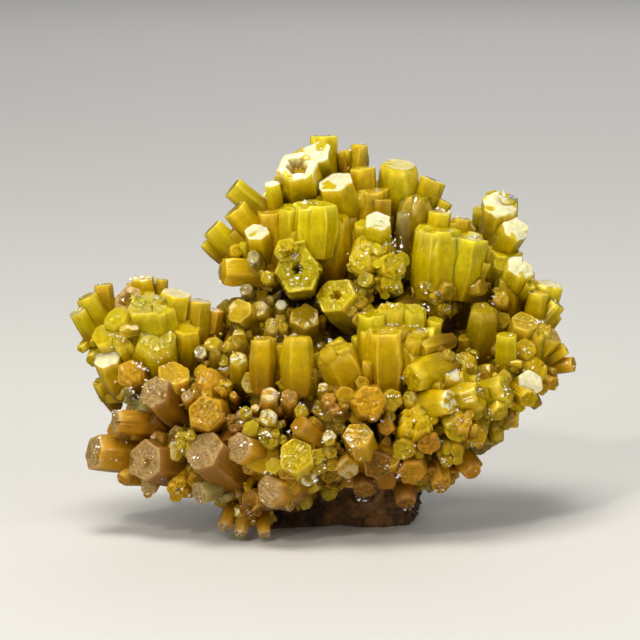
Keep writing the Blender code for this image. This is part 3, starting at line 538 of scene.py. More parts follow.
FRONT_CRYSTALS = (
    # Small crystals in the valley below the crown
    (-6.1, 1.2, 3, (-0.2, 0.3, 0.93), 2.1, 5, BLUNT, OLIVE),
    (-8.1, 1.8, 1.5, (0, 0.95, 0.2), 1.9, 5.5, BLUNT, MOSS),
    (-4.4, -0.2, 4.5, (0, 0.6, 0.8), 2.6, 5.5, BLUNT, OLIVE, ROUGH, CRUST),
    (-1.5, 0.4, 4.5, (0.1, 0.5, 0.85), 2.8, 6, FLAT, OLIVE),
    (-8.2, -1.4, 4.5, (-0.2, 0.5, 0.85), 1.6, 5, BLUNT, OLIVE),
    (-10.8, -2.2, 5, (-0.2, 0.7, 0.7), 2, 5, BLUNT, OLIVE),
    # The row of upright prisms along the front
    (-8.2, -3.7, 8, (-0.1, 0.7, 0.7), 1.9, 5.5, BLUNT, GOLD, GRAINY_PAINTED_SPARKLE),
    (-5.7, -1.7, 9, (0, 1, 0.06), 2.5, 5.5, FLAT, GOLD, PLAIN, BUNDLE),
    (-2.3, -1.6, 9.6, (0, 1, 0.06), 3.1, 5.8, BLUNT, GOLD),
    (1, -2.5, 9.3, (-0.42, 0.85, 0.32), 3.6, 6, FLAT, GOLD, ROUGH, CRUST),
    (5.4, 0.8, 8, (0, 0.97, 0.25), 2.9, 7, FLAT, LEMON, PLAIN, BUNDLE),
    (7.2, 1.6, 7.8, (0, 0.9, 0.4), 3.1, 7.5, BLUNT, LEMON, ROUGH, BUNDLE),
    (9.4, 1.3, 7.6, (0.1, 0.9, 0.4), 3, 7.5, BLUNT, LEMON, ROUGH, BUNDLE),
    (6.4, -0.6, 9, (-0.04, 0.96, 0.28), 5.4, 6.5, FLAT, GOLD, ROUGH, BUNDLE),
    (9, -0.5, 8.5, (0.1, 0.93, 0.36), 4.2, 6.5, BLUNT, GOLD, ROUGH, CRUST),
    (11.8, -1.4, 7.5, (0.85, 0.2, 0.45), 2.2, 6, BLUNT, LEMON),
    # The shelf below the row
    (-11.6, -5.6, 8.5, (-0.4, 0.6, 0.7), 2.7, 5.5, BLUNT, AMBER, ROUGH),
    (-9.8, -6.6, 9, (-0.1, 0.4, 0.9), 1.6, 5, BLUNT, AMBER, ROUGH, CRUST),
    (-5.1, -7.4, 11, (0, 0.5, 0.85), 2, 5.5, BLUNT, HONEY, ASHEN),
    (-3, -7.6, 11, (0, 0.4, 0.9), 1.9, 5.5, BLUNT, HONEY, ROUGH),
    (-1.9, -9.1, 11.5, (0, 0.2, 0.98), 1.6, 7, BLUNT, OLIVE),
    (1.7, -8, 12, (0, 0.3, 0.95), 2.7, 6, BLUNT, HONEY, ROUGH, CRUST),
    (5, -8.1, 13.5, (0.05, 0.05, 1), 3.6, 7.5, BLUNT, AMBER, ROUGH, BUNDLE),
    (7.4, -7.9, 12, (0.3, 0.2, 0.93), 2.3, 6, BLUNT, OLIVE, ROUGH),
    (8.9, -5.9, 11, (-0.7, -0.25, 0.65), 3.2, 5.5, BLUNT, GOLD, ROUGH, BUNDLE),
    (13.3, -5.2, 9.5, (0.3, 0.7, 0.6), 2.2, 5.5, BLUNT, GOLD, WHITE),
    (13.1, -8.2, 12, (0.75, 0.1, 0.65), 2.7, 5.5, BLUNT, GOLD, GRAINY_PAINTED_SPARKLE),
    (9.8, -9.7, 12, (0.1, 0.4, 0.9), 3.6, 6.5, BLUNT, GOLD, ROUGH, BUNDLE),
    (16.2, -7.4, 10.5, (0.84, 0.28, 0.47), 3.2, 6.5, BLUNT, GOLD, ROUGH, BUNDLE),
    (18.8, -6.8, 9, (0.78, 0.34, 0.53), 3, 7, BLUNT, LEMON, ROUGH, BUNDLE),
    (14.4, -10.1, 12, (0.1, 0.4, 0.9), 1.8, 5.5, BLUNT, AMBER, ROUGH),
    (13.9, -11.2, 11.5, (0.1, -0.5, 0.85), 3, 6, BLUNT, GOLD, ROUGH, BUNDLE),
    (18, -9.5, 9.4, (0.2, -0.6, 0.77), 2.3, 5.5, BLUNT, GOLD, ROUGH, BUNDLE),
    (21, -8, 7.5, (0.4, -0.3, 0.85), 2.2, 6, BLUNT, GOLD, ROUGH, BUNDLE),
    # Below the shelf on the right
    (6.6, -10.6, 12, (0, 0.1, 0.99), 1.8, 5, BLUNT, HONEY, ROUGH),
    (10.9, -12.4, 11.2, (0.1, -0.2, 0.97), 2.7, 6, BLUNT, HONEY, ROUGH, BUNDLE),
    (8.3, -13, 11.4, (-0.1, -0.1, 0.99), 2.6, 6, BLUNT, OLIVE, ROUGH, BUNDLE),
    (16, -12, 9.6, (0.4, -0.45, 0.8), 2.4, 6, BLUNT, AMBER, ROUGH, BUNDLE),
    (13.3, -13.8, 10, (0.2, -0.45, 0.87), 2.8, 6, BLUNT, OLIVE, ROUGH, CRUST),
    (9.2, -15.6, 10.4, (0, -0.4, 0.92), 3, 6.5, BLUNT, HONEY, ROUGH, BUNDLE),
    (6.6, -16.2, 10.2, (-0.1, -0.4, 0.91), 2.2, 6, BLUNT, BROWN),
    (12.2, -16.8, 8.6, (0.2, -0.65, 0.74), 2.4, 6, BLUNT, HONEY, ROUGH, BUNDLE),
    (15.4, -15.4, 7.6, (0.45, -0.6, 0.66), 2, 6, BLUNT, HONEY),
    (8.6, -18.4, 8.2, (0, -0.75, 0.66), 2.2, 6, BLUNT, BROWN, ROUGH),
    # Ones deep in the gaps, and small ones, that the solids leave out
    (-6.4, 2.6, 1.2, (0, 0.4, 0.92), 3.4, 5, BLUNT, MOSS),
    (14.4, -4, 6, (0.1, 0.6, 0.8), 3.6, 6, BLUNT, OLIVE, PLAIN, BUNDLE),
    (-3.9, 1.6, 3, (-0.1, 0.5, 0.85), 1.3, 4.5, BLUNT, OLIVE, WHITE),
    (-7.4, 3.1, 2.5, (-0.2, 0.4, 0.9), 1.3, 4.5, FLAT, ASH, ASHEN),
    (-9.6, -2.6, 6, (-0.8, 0.2, 0.5), 1.2, 5, BLUNT, OLIVE),
    (-12, -3.2, 6, (-0.1, 0.3, 0.95), 1.2, 4.5, FLAT, ASH, ASHEN),
    (-4.2, -2.4, 8.7, (0, 0.95, 0.3), 1.3, 5.5, BLUNT, GOLD),
    (4.8, -4, 9.5, (0, 0.9, 0.4), 1.3, 4.5, BLUNT, GOLD),
    (6.4, -4.2, 9.7, (0.05, 0.9, 0.4), 1.3, 4.5, BLUNT, GOLD),
    (0.3, -6.6, 10.5, (0, 0.5, 0.85), 1.2, 5, BLUNT, OLIVE, GRAINY_PAINTED_SPARKLE),
)

BROWN_CRYSTALS = (
    # The left edge
    (-16.6, -6.9, 8.5, (-0.45, 0.5, 0.74), 3.4, 7, FLAT, BROWN, BUFF),
    (-11.5, -9.3, 11, (-0.1, 0.1, 0.99), 3.7, 6.5, BLUNT, AMBER, ROUGH),
    (-13.3, -7.5, 10, (-0.1, 0.3, 0.95), 1.4, 5, BLUNT, HONEY, BUFF),
    (-20.6, -10.2, 7, (-0.9, 0.05, 0.4), 2.4, 6.5, FLAT, HONEY, BUFF, BUNDLE),
    (-22.7, -13.2, 6, (-0.85, 0.1, 0.52), 3.5, 8, FLAT, HONEY, BUFF),
    (-17.6, -14.1, 8, (-0.65, 0.1, 0.75), 4.1, 8, FLAT, BROWN, BUFF),
    (-13.6, -12, 10, (-0.2, 0.2, 0.96), 2.6, 6, BLUNT, OLIVE, ROUGH, CRUST),
    (-19.9, -16, 6, (-0.5, -0.5, 0.7), 1.6, 5.5, BLUNT, HONEY, ROUGH),
    (-17.2, -17, 7, (-0.2, -0.6, 0.75), 1.9, 6, BLUNT, HONEY, BUFF),
    (-14.2, -17.2, 8, (-0.1, -0.5, 0.85), 2.4, 6, BLUNT, AMBER, ROUGH, CRUST),
    # The middle, with the biggest caps
    (-11.7, -12.9, 11, (-0.5, 0.45, 0.72), 3.9, 8, FLAT, BROWN, BUFF),
    (-8.2, -12.7, 11.5, (-0.6, 0.15, 0.78), 2.9, 6.5, FLAT, HONEY, BUFF),
    (-5.7, -13.5, 10.8, (0.2, 0.1, 0.97), 4.2, 7, BLUNT, AMBER),
    (-12.1, -17.4, 9, (-0.75, -0.3, 0.6), 2.2, 6, FLAT, ASH, BUFF),
    (-8.4, -10, 11, (-0.1, 0.3, 0.95), 2.2, 5.5, BLUNT, BROWN, ROUGH, CRUST),
    (-7.4, -9.1, 10.8, (0.1, 0.5, 0.85), 1.5, 5, BLUNT, OLIVE, ROUGH),
    (-5.2, -9.6, 12, (0, 0.4, 0.9), 2, 5.5, BLUNT, OLIVE, GRAINY_PAINTED_SPARKLE),
    (-6.9, -10.7, 12, (0, 0.3, 0.95), 1.8, 5.5, BLUNT, OLIVE),
    (-5, -11.6, 12.3, (0, 0.2, 0.98), 2.1, 5.5, BLUNT, OLIVE, ROUGH, CRUST),
    (-2.3, -10.4, 12, (-0.6, 0.5, 0.6), 2.2, 5.5, BLUNT, HONEY),
    (-2.4, -13.5, 12.5, (0, 0.35, 0.93), 3.3, 6.5, FLAT, GOLD, ROUGH),
    (-3.2, -14.8, 12, (-0.1, 0.1, 0.99), 2.7, 6, BLUNT, HONEY, ROUGH),
    (-5.3, -17.1, 11.5, (-0.5, 0, 0.85), 4.2, 7, BLUNT, HONEY, BUFF),
    (-2.8, -16.7, 11, (0.2, -0.2, 0.95), 2.2, 6, BLUNT, HONEY),
    (-1, -15.8, 11.5, (0.3, -0.1, 0.94), 1.8, 5.5, BLUNT, OLIVE, GRAINY_PAINTED_SPARKLE),
    (-3.3, -18.4, 10.5, (0, -0.5, 0.85), 1.5, 5, BLUNT, HONEY, ROUGH),
    (-18.8, -8.7, 6.2, (-0.6, 0.3, 0.7), 2.6, 5.5, BLUNT, ASH, ROUGH, BUNDLE),
    # To the right of the middle
    (1.2, -10, 11, (0, 0.3, 0.95), 3, 6, BLUNT, MOSS, ROUGH, CRUST),
    (3.8, -11.5, 13, (-0.15, 0.5, 0.85), 3.5, 6.5, FLAT, AMBER, ROUGH),
    (0.7, -14, 12, (0.3, 0, 0.95), 3.2, 6.5, BLUNT, OLIVE, ROUGH, CRUST),
    (2.9, -15, 11.5, (0.1, -0.2, 0.97), 2.4, 6, BLUNT, HONEY, ASHEN),
    (0.9, -11.7, 12.3, (0, 0.2, 0.98), 1.6, 5, BLUNT, OLIVE, GRAINY_PAINTED_SPARKLE),
    (5.8, -14.6, 11, (0.1, -0.3, 0.95), 2.8, 6, FLAT, BROWN, ROUGH),
    (4.4, -17.2, 9.5, (0, -0.6, 0.8), 2.2, 6, BLUNT, BROWN, ROUGH),
    # The lowest tips
    (-7, -19.2, 9, (0, -0.4, 0.9), 2.2, 6, BLUNT, BROWN, ROUGH, CRUST),
    (-9.6, -20.8, 7.5, (-0.3, -0.7, 0.6), 1.6, 5.5, BLUNT, HONEY, BUFF),
    (-8, -21.5, 7.5, (-0.1, -0.8, 0.6), 1.5, 5.5, BLUNT, HONEY, BUFF),
    (-5.5, -21.6, 7.5, (0.1, -0.8, 0.6), 1.7, 5.5, BLUNT, HONEY, BUFF),
)

YELLOW_SLOT = "yellow_green_pyromorphite"
BROWN_SLOT = "brown_pyromorphite"
CORE_TONES = {YELLOW_SLOT: (GOLD, MOSS), BROWN_SLOT: (HONEY, BROWN)}
FINEST = (0.18, 0.5)
NO_QUADS = np.zeros((0, 4), dtype=int)
NO_TRIANGLES = np.zeros((0, 3), dtype=int)

# Each spray: its node and slot, its crystals, the fans behind them with their colours, what stands between
# them, and a seed
SPRAYS = (
    Spray(
        "crown_spray", YELLOW_SLOT, CROWN_CRYSTALS,
        (
            Fan((1.5, 6.5, -3.5), (9.5, 8.0, 9.0), 10, (2.4, 3.9), 8.0, 11),
            Fan((1.5, -1.0, -7.0), (9.0, 6.5, 7.5), 7, (2.2, 3.5), 6.0, 53),
        ),
        (LEMON, LEMON, GOLD),
        (
            Filling((GOLD, OLIVE, OLIVE), 75, (1.7, 3.0)),
            Filling((OLIVE, OLIVE, GOLD, MOSS), 110, (0.9, 1.7)),
            Filling((OLIVE, GOLD, MOSS), 500, FINEST),
        ),
        101,
    ),
    Spray(
        "left_spray", YELLOW_SLOT, LEFT_CRYSTALS,
        (Fan((-16.5, -3.2, -0.8), (6.0, 5.0, 7.5), 7, (2.2, 3.1), 6.5, 23),),
        (LEMON, GOLD),
        (
            Filling((GOLD, LEMON), 40, (1.2, 2.2)),
            Filling((GOLD, OLIVE), 60, (0.7, 1.3)),
            Filling((OLIVE, GOLD), 350, FINEST),
        ),
        102,
    ),
    Spray(
        "right_spray", YELLOW_SLOT, RIGHT_CRYSTALS,
        (Fan((18.0, -0.5, -3.0), (5.0, 6.5, 7.0), 8, (2.2, 3.1), 6.5, 37),),
        (LEMON, GOLD, OLIVE),
        (
            Filling((GOLD, OLIVE), 45, (1.2, 2.3)),
            Filling((GOLD, OLIVE, MOSS), 70, (0.7, 1.3)),
            Filling((OLIVE, MOSS, MOSS), 400, FINEST),
        ),
        103,
    ),
    Spray(
        "front_row", YELLOW_SLOT, FRONT_CRYSTALS, (), (),
        (
            Filling((GOLD, OLIVE, OLIVE, MOSS), 85, (1.7, 3.0)),
            Filling((OLIVE, GOLD, HONEY, OLIVE), 120, (0.9, 1.7)),
            Filling((OLIVE, GOLD, HONEY), 500, FINEST),
        ),
        104,
    ),
    Spray(
        "brown_crystals", BROWN_SLOT, BROWN_CRYSTALS, (), (),
        (
            Filling((HONEY, AMBER, OLIVE), 65, (1.6, 2.8)),
            Filling((HONEY, OLIVE, AMBER, BROWN), 100, (0.9, 1.6)),
            Filling((OLIVE, HONEY, BROWN), 450, FINEST),
        ),
        105,
    ),
)

ROCK_FILLING = (
    Filling((HONEY, AMBER, OLIVE), 60, (1.2, 2.4)),
    Filling((HONEY, BROWN, OLIVE), 130, (0.7, 1.2)),
    Filling((HONEY, BROWN, OLIVE), 700, (0.2, 0.5)),
)
ROCK_SEED = 106


def direction(right, up, toward):
    """A direction given as the viewer sees it, in world axes."""
    return Vector((
        right,
        up * math.sin(VIEW_TILT) - toward * math.cos(VIEW_TILT),
        up * math.cos(VIEW_TILT) + toward * math.sin(VIEW_TILT),
    ))


def place(across, up, toward):
    """A point given as the viewer sees it, moved along its sight line to its own depth."""
    nearer = 1.0 - toward / VIEW_DISTANCE
    return direction(across * nearer, up * nearer, toward) + MIDDLE


def frame_at(point, aim, turn):
    """Axes at a point with +Z along an aim."""
    upright = Vector(aim).to_track_quat("Z", "Y").to_matrix().to_4x4()
    return np.array(Matrix.Translation(Vector(point)) @ upright @ Matrix.Rotation(turn, 4, "Z"))


def crystal_frame(crystal):
    """The crystal's own axes: +Z along its length, with the tip at the origin."""
    turn = crystal.across * TURN_ACROSS + crystal.up * TURN_UP
    tip = place(crystal.across, crystal.up, crystal.toward)
    return frame_at(tip, direction(*crystal.aim), math.radians(turn))


def frame_beside(frame, turn, out, drop, lean):
    """Axes of a crystal beside another one, leaning away from it."""
    tilt = Matrix.Rotation(lean, 4, (-math.sin(turn), math.cos(turn), 0.0))
    shift = Matrix.Translation((out * math.cos(turn), out * math.sin(turn), -drop))
    return frame @ np.array(shift @ tilt)


def moved(points, frame):
    """Points carried from a crystal's own axes to the world's."""
    return points @ frame[:3, :3].T + frame[:3, 3]


def seen_from(frame, points):
    """Points of the world in a crystal's own axes."""
    return (points - frame[:3, 3]) @ frame[:3, :3]


def unit(vectors):
    """The same directions with a length of one."""
    return vectors / np.linalg.norm(vectors, axis=-1, keepdims=True)


def fan_crystals(fan, tones):
    """Crystals on the side of a spray that the viewer can't see, pointing away from its heart."""
    rng = random.Random(fan.seed)
    golden_turn = math.pi * (3.0 - math.sqrt(5.0))
    crystals = []
    for number in range(fan.count):
        away = FAN_EDGE + (1.0 - FAN_EDGE) * (number + 0.5) / fan.count
        round_it = number * golden_turn
        spread_out = math.sqrt(1.0 - away * away)
        aim = (
            spread_out * math.cos(round_it) + rng.uniform(-FAN_SIDEWAYS, FAN_SIDEWAYS),
            spread_out * math.sin(round_it) + rng.uniform(0.0, FAN_LIFT),
            -away,
        )
        tip = [start + step * part for start, step, part in zip(fan.heart, fan.reach, aim)]
        width = rng.uniform(*fan.widths)
        length = fan.length * rng.uniform(*FAN_LENGTHS)
        form = rng.choice(FAN_FORMS)
        tone = tones[number % len(tones)]
        cap = FAN_CAPS[number % len(FAN_CAPS)]
        habit = FAN_HABITS[number % len(FAN_HABITS)]
        crystals.append(Crystal(*tip, aim, width, length, form, tone, cap, habit))
    return crystals


def standing_crystals(spray):
    """All the crystals of a spray with their axes, on the viewer's side and behind."""
    crystals = [Crystal(*row) for row in spray.rows]
    for fan in spray.fans:
        crystals += fan_crystals(fan, spray.fan_tones)
    return [(crystal_frame(crystal), crystal) for crystal in crystals]


def smooth_step(value):
    """0 below 0, 1 above 1, and a smooth rise between."""
    value = np.clip(value, 0.0, 1.0)
    return value * value * (3.0 - 2.0 * value)


def rise(value, start_and_width):
    """A smooth rise from 0 to 1, or a fall where its width is negative."""
    start, width = start_and_width
    return smooth_step((value - start) / width)


def mixed(first, second, share):
    """Colours carried towards others by a share."""
    return first + (second - first) * share[:, :, None]


def waves(first, second, length, rng):
    """A smooth uneven field from waves of about one length in many directions."""
    way = rng.uniform(0.0, math.tau, WAVE_COUNT)
    rate = math.tau / (length * rng.uniform(*WAVE_LENGTHS, WAVE_COUNT))
    phase = rng.uniform(0.0, math.tau, WAVE_COUNT)
    total = np.zeros(np.broadcast(first, second).shape)
    for angle, speed, start in zip(way, rate, phase):
        total = total + np.sin((first * math.cos(angle) + second * math.sin(angle)) * speed + start)
    return total / math.sqrt(WAVE_COUNT / 2.0)


def hexagon(turn, sharpness, rng):
    """Distance from the axis to an uneven hexagon with rounded corners."""
    facing = (np.arange(SIDES) + 0.5) * math.tau / SIDES
    reach = math.cos(math.pi / SIDES) * (1.0 - UNEVEN * rng.random(SIDES))
    closeness = np.maximum(0.0, np.cos(turn[:, None] - facing)) / reach
    return np.sum(closeness ** sharpness, axis=1) ** (-1.0 / sharpness)


def growth_groups(columns, each, rng):
    """Which growth column each grid column belongs to."""
    group = np.cumsum(rng.random(columns) < 1.0 / each)
    group[group == group[-1]] = group[0]
    return group - group.min()


def growth_of(radius, habit, form, column_mm, rng):
    """A prism's outline, and the level, step and shade of each growth column in it."""
    wanted = int(math.tau * radius / column_mm / SIDES) * SIDES
    columns = int(np.clip(wanted, *COLUMNS))
    turn = np.arange(columns) * math.tau / columns
    outline = hexagon(turn, SOFT_CORNERS if form == BLUNT else SHARP_CORNERS, rng)
    group = growth_groups(columns, habit.columns_each, rng)
    groups = group.max() + 1
    outline *= 1.0 + (habit.offset * np.clip(rng.normal(size=groups), *OFFSET_LIMITS))[group]
    outline *= 1.0 + STRIPE * rng.normal(size=columns)
    level = -(habit.rag * 2.0 * radius * rng.random(groups) ** RAG_POWER)[group]
    step = rng.uniform(*STEP_PLACES, groups)[group]
    shade = rng.uniform(*COLUMN_SHADES, groups)[group]
    if form in PITS:
        step = np.full(columns, HOLLOW_STEP)
    return Growth(turn, outline, group, level, step, shade)


def barrel(along, end_width):
    """A crystal's width along its length: wider at the belly, and curving in to its end."""
    rising = ROOT_WIDTH + (1.0 - ROOT_WIDTH) * np.sin(np.minimum(along / BELLY_PLACE, 1.0) * math.pi / 2.0)
    beyond = np.maximum(0.0, along - BELLY_PLACE) / (1.0 - BELLY_PLACE)
    return rising - (1.0 - end_width) * beyond ** 2


def prism_sides(growth, radius, bottom, top, habit, form, rng):
    """The sides, row by row: how far along each row is, and each point's reach and height."""
    rows = int(np.clip(int((top - bottom) / ROW_MM), *SIDE_ROWS))
    along = np.linspace(0.0, 1.0, rows)[:, None]
    swell = barrel(along, BLUNT_WIDTH if form == BLUNT else END_WIDTH)
    swell = swell + STEP_RING * rng.normal(size=(rows, 1))
    first, second = np.cos(growth.turn) + 0.0 * along, np.sin(growth.turn) + WOBBLE_CHANGE * along
    swell = swell + WOBBLE * waves(first, second, WOBBLE_LENGTH, rng)
    shelf = rise(along, (rng.uniform(*SHELF_PLACES, growth.group.max() + 1)[growth.group], SHELF_EDGE))
    reach = growth.outline * radius * (swell - 2.0 * habit.offset * shelf)
    round_over = rounding_of(form)[0][1] * radius
    return along, reach, bottom + along * (top + growth.level - round_over - bottom)


def rounding_of(form):
    """How an end's rim is rounded."""
    return BLUNT_ROUNDING if form == BLUNT else RIM_ROUNDING


def prism_end(growth, rim, radius, top, skin, habit, form, rng):
    """The end, ring by ring: the rings' shares of the rim, its points, and where it is hollow."""
    rings = max(FEWEST_CAP_ROWS, int(radius / CAP_ROW_MM))
    rounding = np.array(rounding_of(form))
    inward = np.concatenate([rounding[:, 0], np.linspace(*INNER_RINGS, rings)])[:, None]
    drop = np.concatenate([rounding[:, 1], np.zeros(rings)])[:, None]
    x = rim * inward * np.cos(growth.turn)
    y = rim * inward * np.sin(growth.turn)
    core = -habit.rag * radius * rng.random()
    height = top + core + (growth.level - core) * rise(inward, (growth.step, STEP_EDGE)) - drop * radius
    grains = waves(x, y, GRAIN_LENGTH, rng) - GRAIN_SINK
    height = height + rise(inward, MIDDLE_RISE) * GRAIN_MM * (LEAST_GRAIN + skin.cap.grainy) * grains
    edge, depth = PITS.get(form, NO_PIT)
    ragged = edge * (1.0 + PIT_RAG * waves(np.cos(growth.turn), np.sin(growth.turn), PIT_RAG_LENGTH, rng))
    pit = smooth_step((ragged - inward) / PIT_EDGE) if edge else np.zeros(x.shape)
    height = height - pit * (depth * radius + PIT_GRAIN_MM * waves(x, y, PIT_GRAIN_LENGTH, rng))
    return inward, np.stack([x, y, height], axis=-1), pit


def side_tones(growth, skin, along, depth):
    """The sides' colours: painted shade at the root, and painted highlights at the corners and the rim."""
    lit = smooth_step((depth + DARK_BELOW) / LIGHTENING)
    tones = mixed(skin.root, skin.body, lit) * growth.shade[None, :, None]
    corner = PAINTED_CORNER_HIGHLIGHT * rise(growth.outline, CORNER_RISE)
    return mixed(tones, skin.glow, np.maximum(corner * lit, PAINTED_RIM_HIGHLIGHT * rise(along, SIDE_RIM_RISE)))


def end_tones(growth, skin, inward, end, pit, rng):
    """The end's colours: a painted highlight at the rim, with patches of the cap's colour, and painted
    shade in a hollow.
    """
    cap = skin.cap
    patches = smooth_step((waves(end[:, :, 0], end[:, :, 1], cap.patch_mm, rng) + cap.cover) / PATCH_EDGE)
    pale = PAINTED_RIM_HIGHLIGHT * rise(inward, CAP_RIM_RISE) * np.ones(len(growth.turn))
    tones = mixed(skin.body * growth.shade[None, :, None], skin.glow, pale)
    tones = mixed(tones, skin.own, patches * cap.share)
    return mixed(tones, skin.body * np.array(PAINTED_PIT_SHADE), pit)


def grid_faces(rows, columns):
    """Faces of a tube of rings, with one more point closing it at each end."""
    row = np.arange(rows - 1)[:, None] * columns
    here = np.arange(columns)[None, :]
    after = (here + 1) % columns
    quads = np.stack([row + here, row + after, row + columns + after, row + columns + here], axis=-1)
    here, after = here[0], after[0]
    last = (rows - 1) * columns
    bottom = np.full(columns, rows * columns)
    under = np.stack([bottom, after, here], axis=-1)
    over = np.stack([last + here, last + after, bottom + 1], axis=-1)
    return quads.reshape(-1, 4), np.concatenate([under, over])


def prism(heap, frame, radius, bottom, top, skin, habit, form, rng, column_mm=COLUMN_MM):
    """One closed prism with growth columns, a barrel shape and its own kind of end."""
    growth = growth_of(radius, habit, form, column_mm, rng)
    along, reach, height = prism_sides(growth, radius, bottom, top, habit, form, rng)
    inward, end, pit = prism_end(growth, reach[-1], radius, top, skin, habit, form, rng)
    side_tone = side_tones(growth, skin, along, (height - top) / (2.0 * radius))
    end_tone = end_tones(growth, skin, inward, end, pit, rng)
    end_grainy = np.maximum(skin.cap.grainy * rise(inward, MIDDLE_RISE), pit)
    side = np.stack([reach * np.cos(growth.turn), reach * np.sin(growth.turn), height], axis=-1)
    closing = [[0.0, 0.0, bottom], [0.0, 0.0, end[-1, :, 2].mean()]]
    points = np.concatenate([side.reshape(-1, 3), end.reshape(-1, 3), closing])
    closing_tones = [skin.root, end_tone[-1, 0]]
    tones = np.concatenate([side_tone.reshape(-1, 3), end_tone.reshape(-1, 3), closing_tones])
    grainy = np.concatenate([np.zeros(reach.size), end_grainy.ravel(), [0.0, end_grainy[-1, 0]]])
    quads, triangles = grid_faces(len(along) + len(inward), len(growth.turn))
    places = points + rng.uniform(*NOISE_PLACES, 3)
    heap.append(Shapes(moved(points, frame), tones, places, grainy, quads, triangles))


def small_prism(heap, frame, width, bottom, top, tone, cap, form, rng):
    """A smaller crystal with a crusty habit."""
    prism(heap, frame, width / 2.0, bottom, top, skin_of(tone, cap, rng), CRUST, form, rng, SMALL_COLUMN_MM)


def skin_of(tone, cap, rng):
    """A crystal's colours, a little different for each: its body, its root darkened as painted shade, a
    pale glow as painted highlight, and its cap's colour.
    """
    shade = rng.uniform(*CRYSTAL_SHADES)
    body = np.array(tone) * shade * np.array([1.0, rng.uniform(*CRYSTAL_GREENS), 1.0])
    own = body if cap.tone is None else np.array(cap.tone)
    glow = np.minimum(1.0, body * RIM_GAIN + RIM_PALE)
    return Skin(body * np.array(PAINTED_ROOT_SHADE), body, glow, own, cap)


def vertices_of(mesh):
    """A mesh's points in millimetres, with the way that each one faces."""
    points = np.zeros(len(mesh.vertices) * 3)
    normals = np.zeros(len(points))
    mesh.vertices.foreach_get("co", points)
    mesh.vertices.foreach_get("normal", normals)
    return points.reshape(-1, 3) / METRES_PER_MM, normals.reshape(-1, 3)


def node_triangles(node):
    """A solid's triangles, in millimetres."""
    mesh = node.data
    mesh.calc_loop_triangles()
    index = np.zeros(len(mesh.loop_triangles) * 3, dtype=np.int32)
    mesh.loop_triangles.foreach_get("vertices", index)
    return vertices_of(mesh)[0][index.reshape(-1, 3)]


def tree_of(triangles):
    """Triangles as a tree, for finding the nearest place on them or what a line meets."""
    corners = triangles.reshape(-1, 3)
    faces = np.arange(len(corners)).reshape(-1, 3)
    return BVHTree.FromPolygons(corners.tolist(), faces.tolist())


def surface_points(triangles, count, rng):
    """Points spread evenly over triangles, with the way that each one faces."""
    across = np.cross(triangles[:, 1] - triangles[:, 0], triangles[:, 2] - triangles[:, 0])
    area = np.linalg.norm(across, axis=1)
    chosen = rng.choice(len(triangles), count, p=area / area.sum())
    first = rng.random(count)
    second = rng.random(count)
    over = first + second > 1.0
    first[over] = 1.0 - first[over]
    second[over] = 1.0 - second[over]
    corner = triangles[chosen]
    points = corner[:, 0] + first[:, None] * (corner[:, 1] - corner[:, 0])
    points += second[:, None] * (corner[:, 2] - corner[:, 0])
    return points, across[chosen] / area[chosen][:, None]


def within(local, radius, low, high):
    """Which points, in a crystal's own axes, are near its axis and between two heights."""
    near_axis = np.hypot(local[..., 0], local[..., 1]) < radius
    return near_axis & (local[..., 2] > low) & (local[..., 2] < high)


def on_free_prism(points, standing):
    """Which points lie on the outer part of a main crystal."""
    taken = np.zeros(len(points), dtype=bool)
    for frame, crystal in standing:
        free = min(crystal.length * FREE_LENGTH, crystal.width * FREE_WIDTHS)
        taken |= within(seen_from(frame, points), crystal.width * FREE_AXIS, -free, ABOVE_END_MM)
    return taken


def has_room(point, aim, everything, room):
    """Whether nothing is close in front of a point."""
    start = Vector(point) + Vector(aim) * CLEAR_MM
    return everything.ray_cast(start, Vector(aim), room)[0] is None


def free_spots(triangles, everything, standing, filling, rng):
    """Where small crystals stand between the main ones: their places, aims and widths."""
    points, normals = surface_points(triangles, filling.count * TRIES_EACH, rng)
    keep = ~on_free_prism(points, standing)
    points, normals = points[keep], normals[keep]
    aims = unit(normals + rng.normal(0.0, AIM_SPREAD, (len(points), 3)))
    low, high = filling.widths
    widths = low * (high / low) ** (rng.random(len(points)) ** SIZE_POWER)
    chosen = []
    for number, (point, aim, width) in enumerate(zip(points, aims, widths)):
        if len(chosen) == filling.count:
            break
        apart = np.linalg.norm(points[chosen] - point, axis=1)
        if np.any(apart < SPACING * (widths[chosen] + width)):
            continue
        if has_room(point, aim, everything, ROOM_WIDTHS * width + ROOM_MM):
            chosen.append(number)
    return points[chosen], aims[chosen], widths[chosen]


def seated(spots, shown):
    """Spots moved onto the shapes that are seen. Those far from them are left out."""
    points, aims, widths = spots
    landed, kept = [], []
    for number, point in enumerate(points):
        spot, _, _, distance = shown.find_nearest(Vector(point))
        if distance < FURTHEST_SEAT_MM:
            landed.append(spot[:])
            kept.append(number)
    return np.array(landed).reshape(-1, 3), aims[kept], widths[kept]


def depth_below(point, aim, everything):
    """How thick the solids are under a point, in millimetres, or nothing where it is outside them."""
    inward = -Vector(aim)
    spot, normal, _, distance = everything.ray_cast(Vector(point) + inward * FELT_MM, inward)
    if spot is None or normal.dot(inward) < 0.0:
        return 0.0
    return FELT_MM + distance


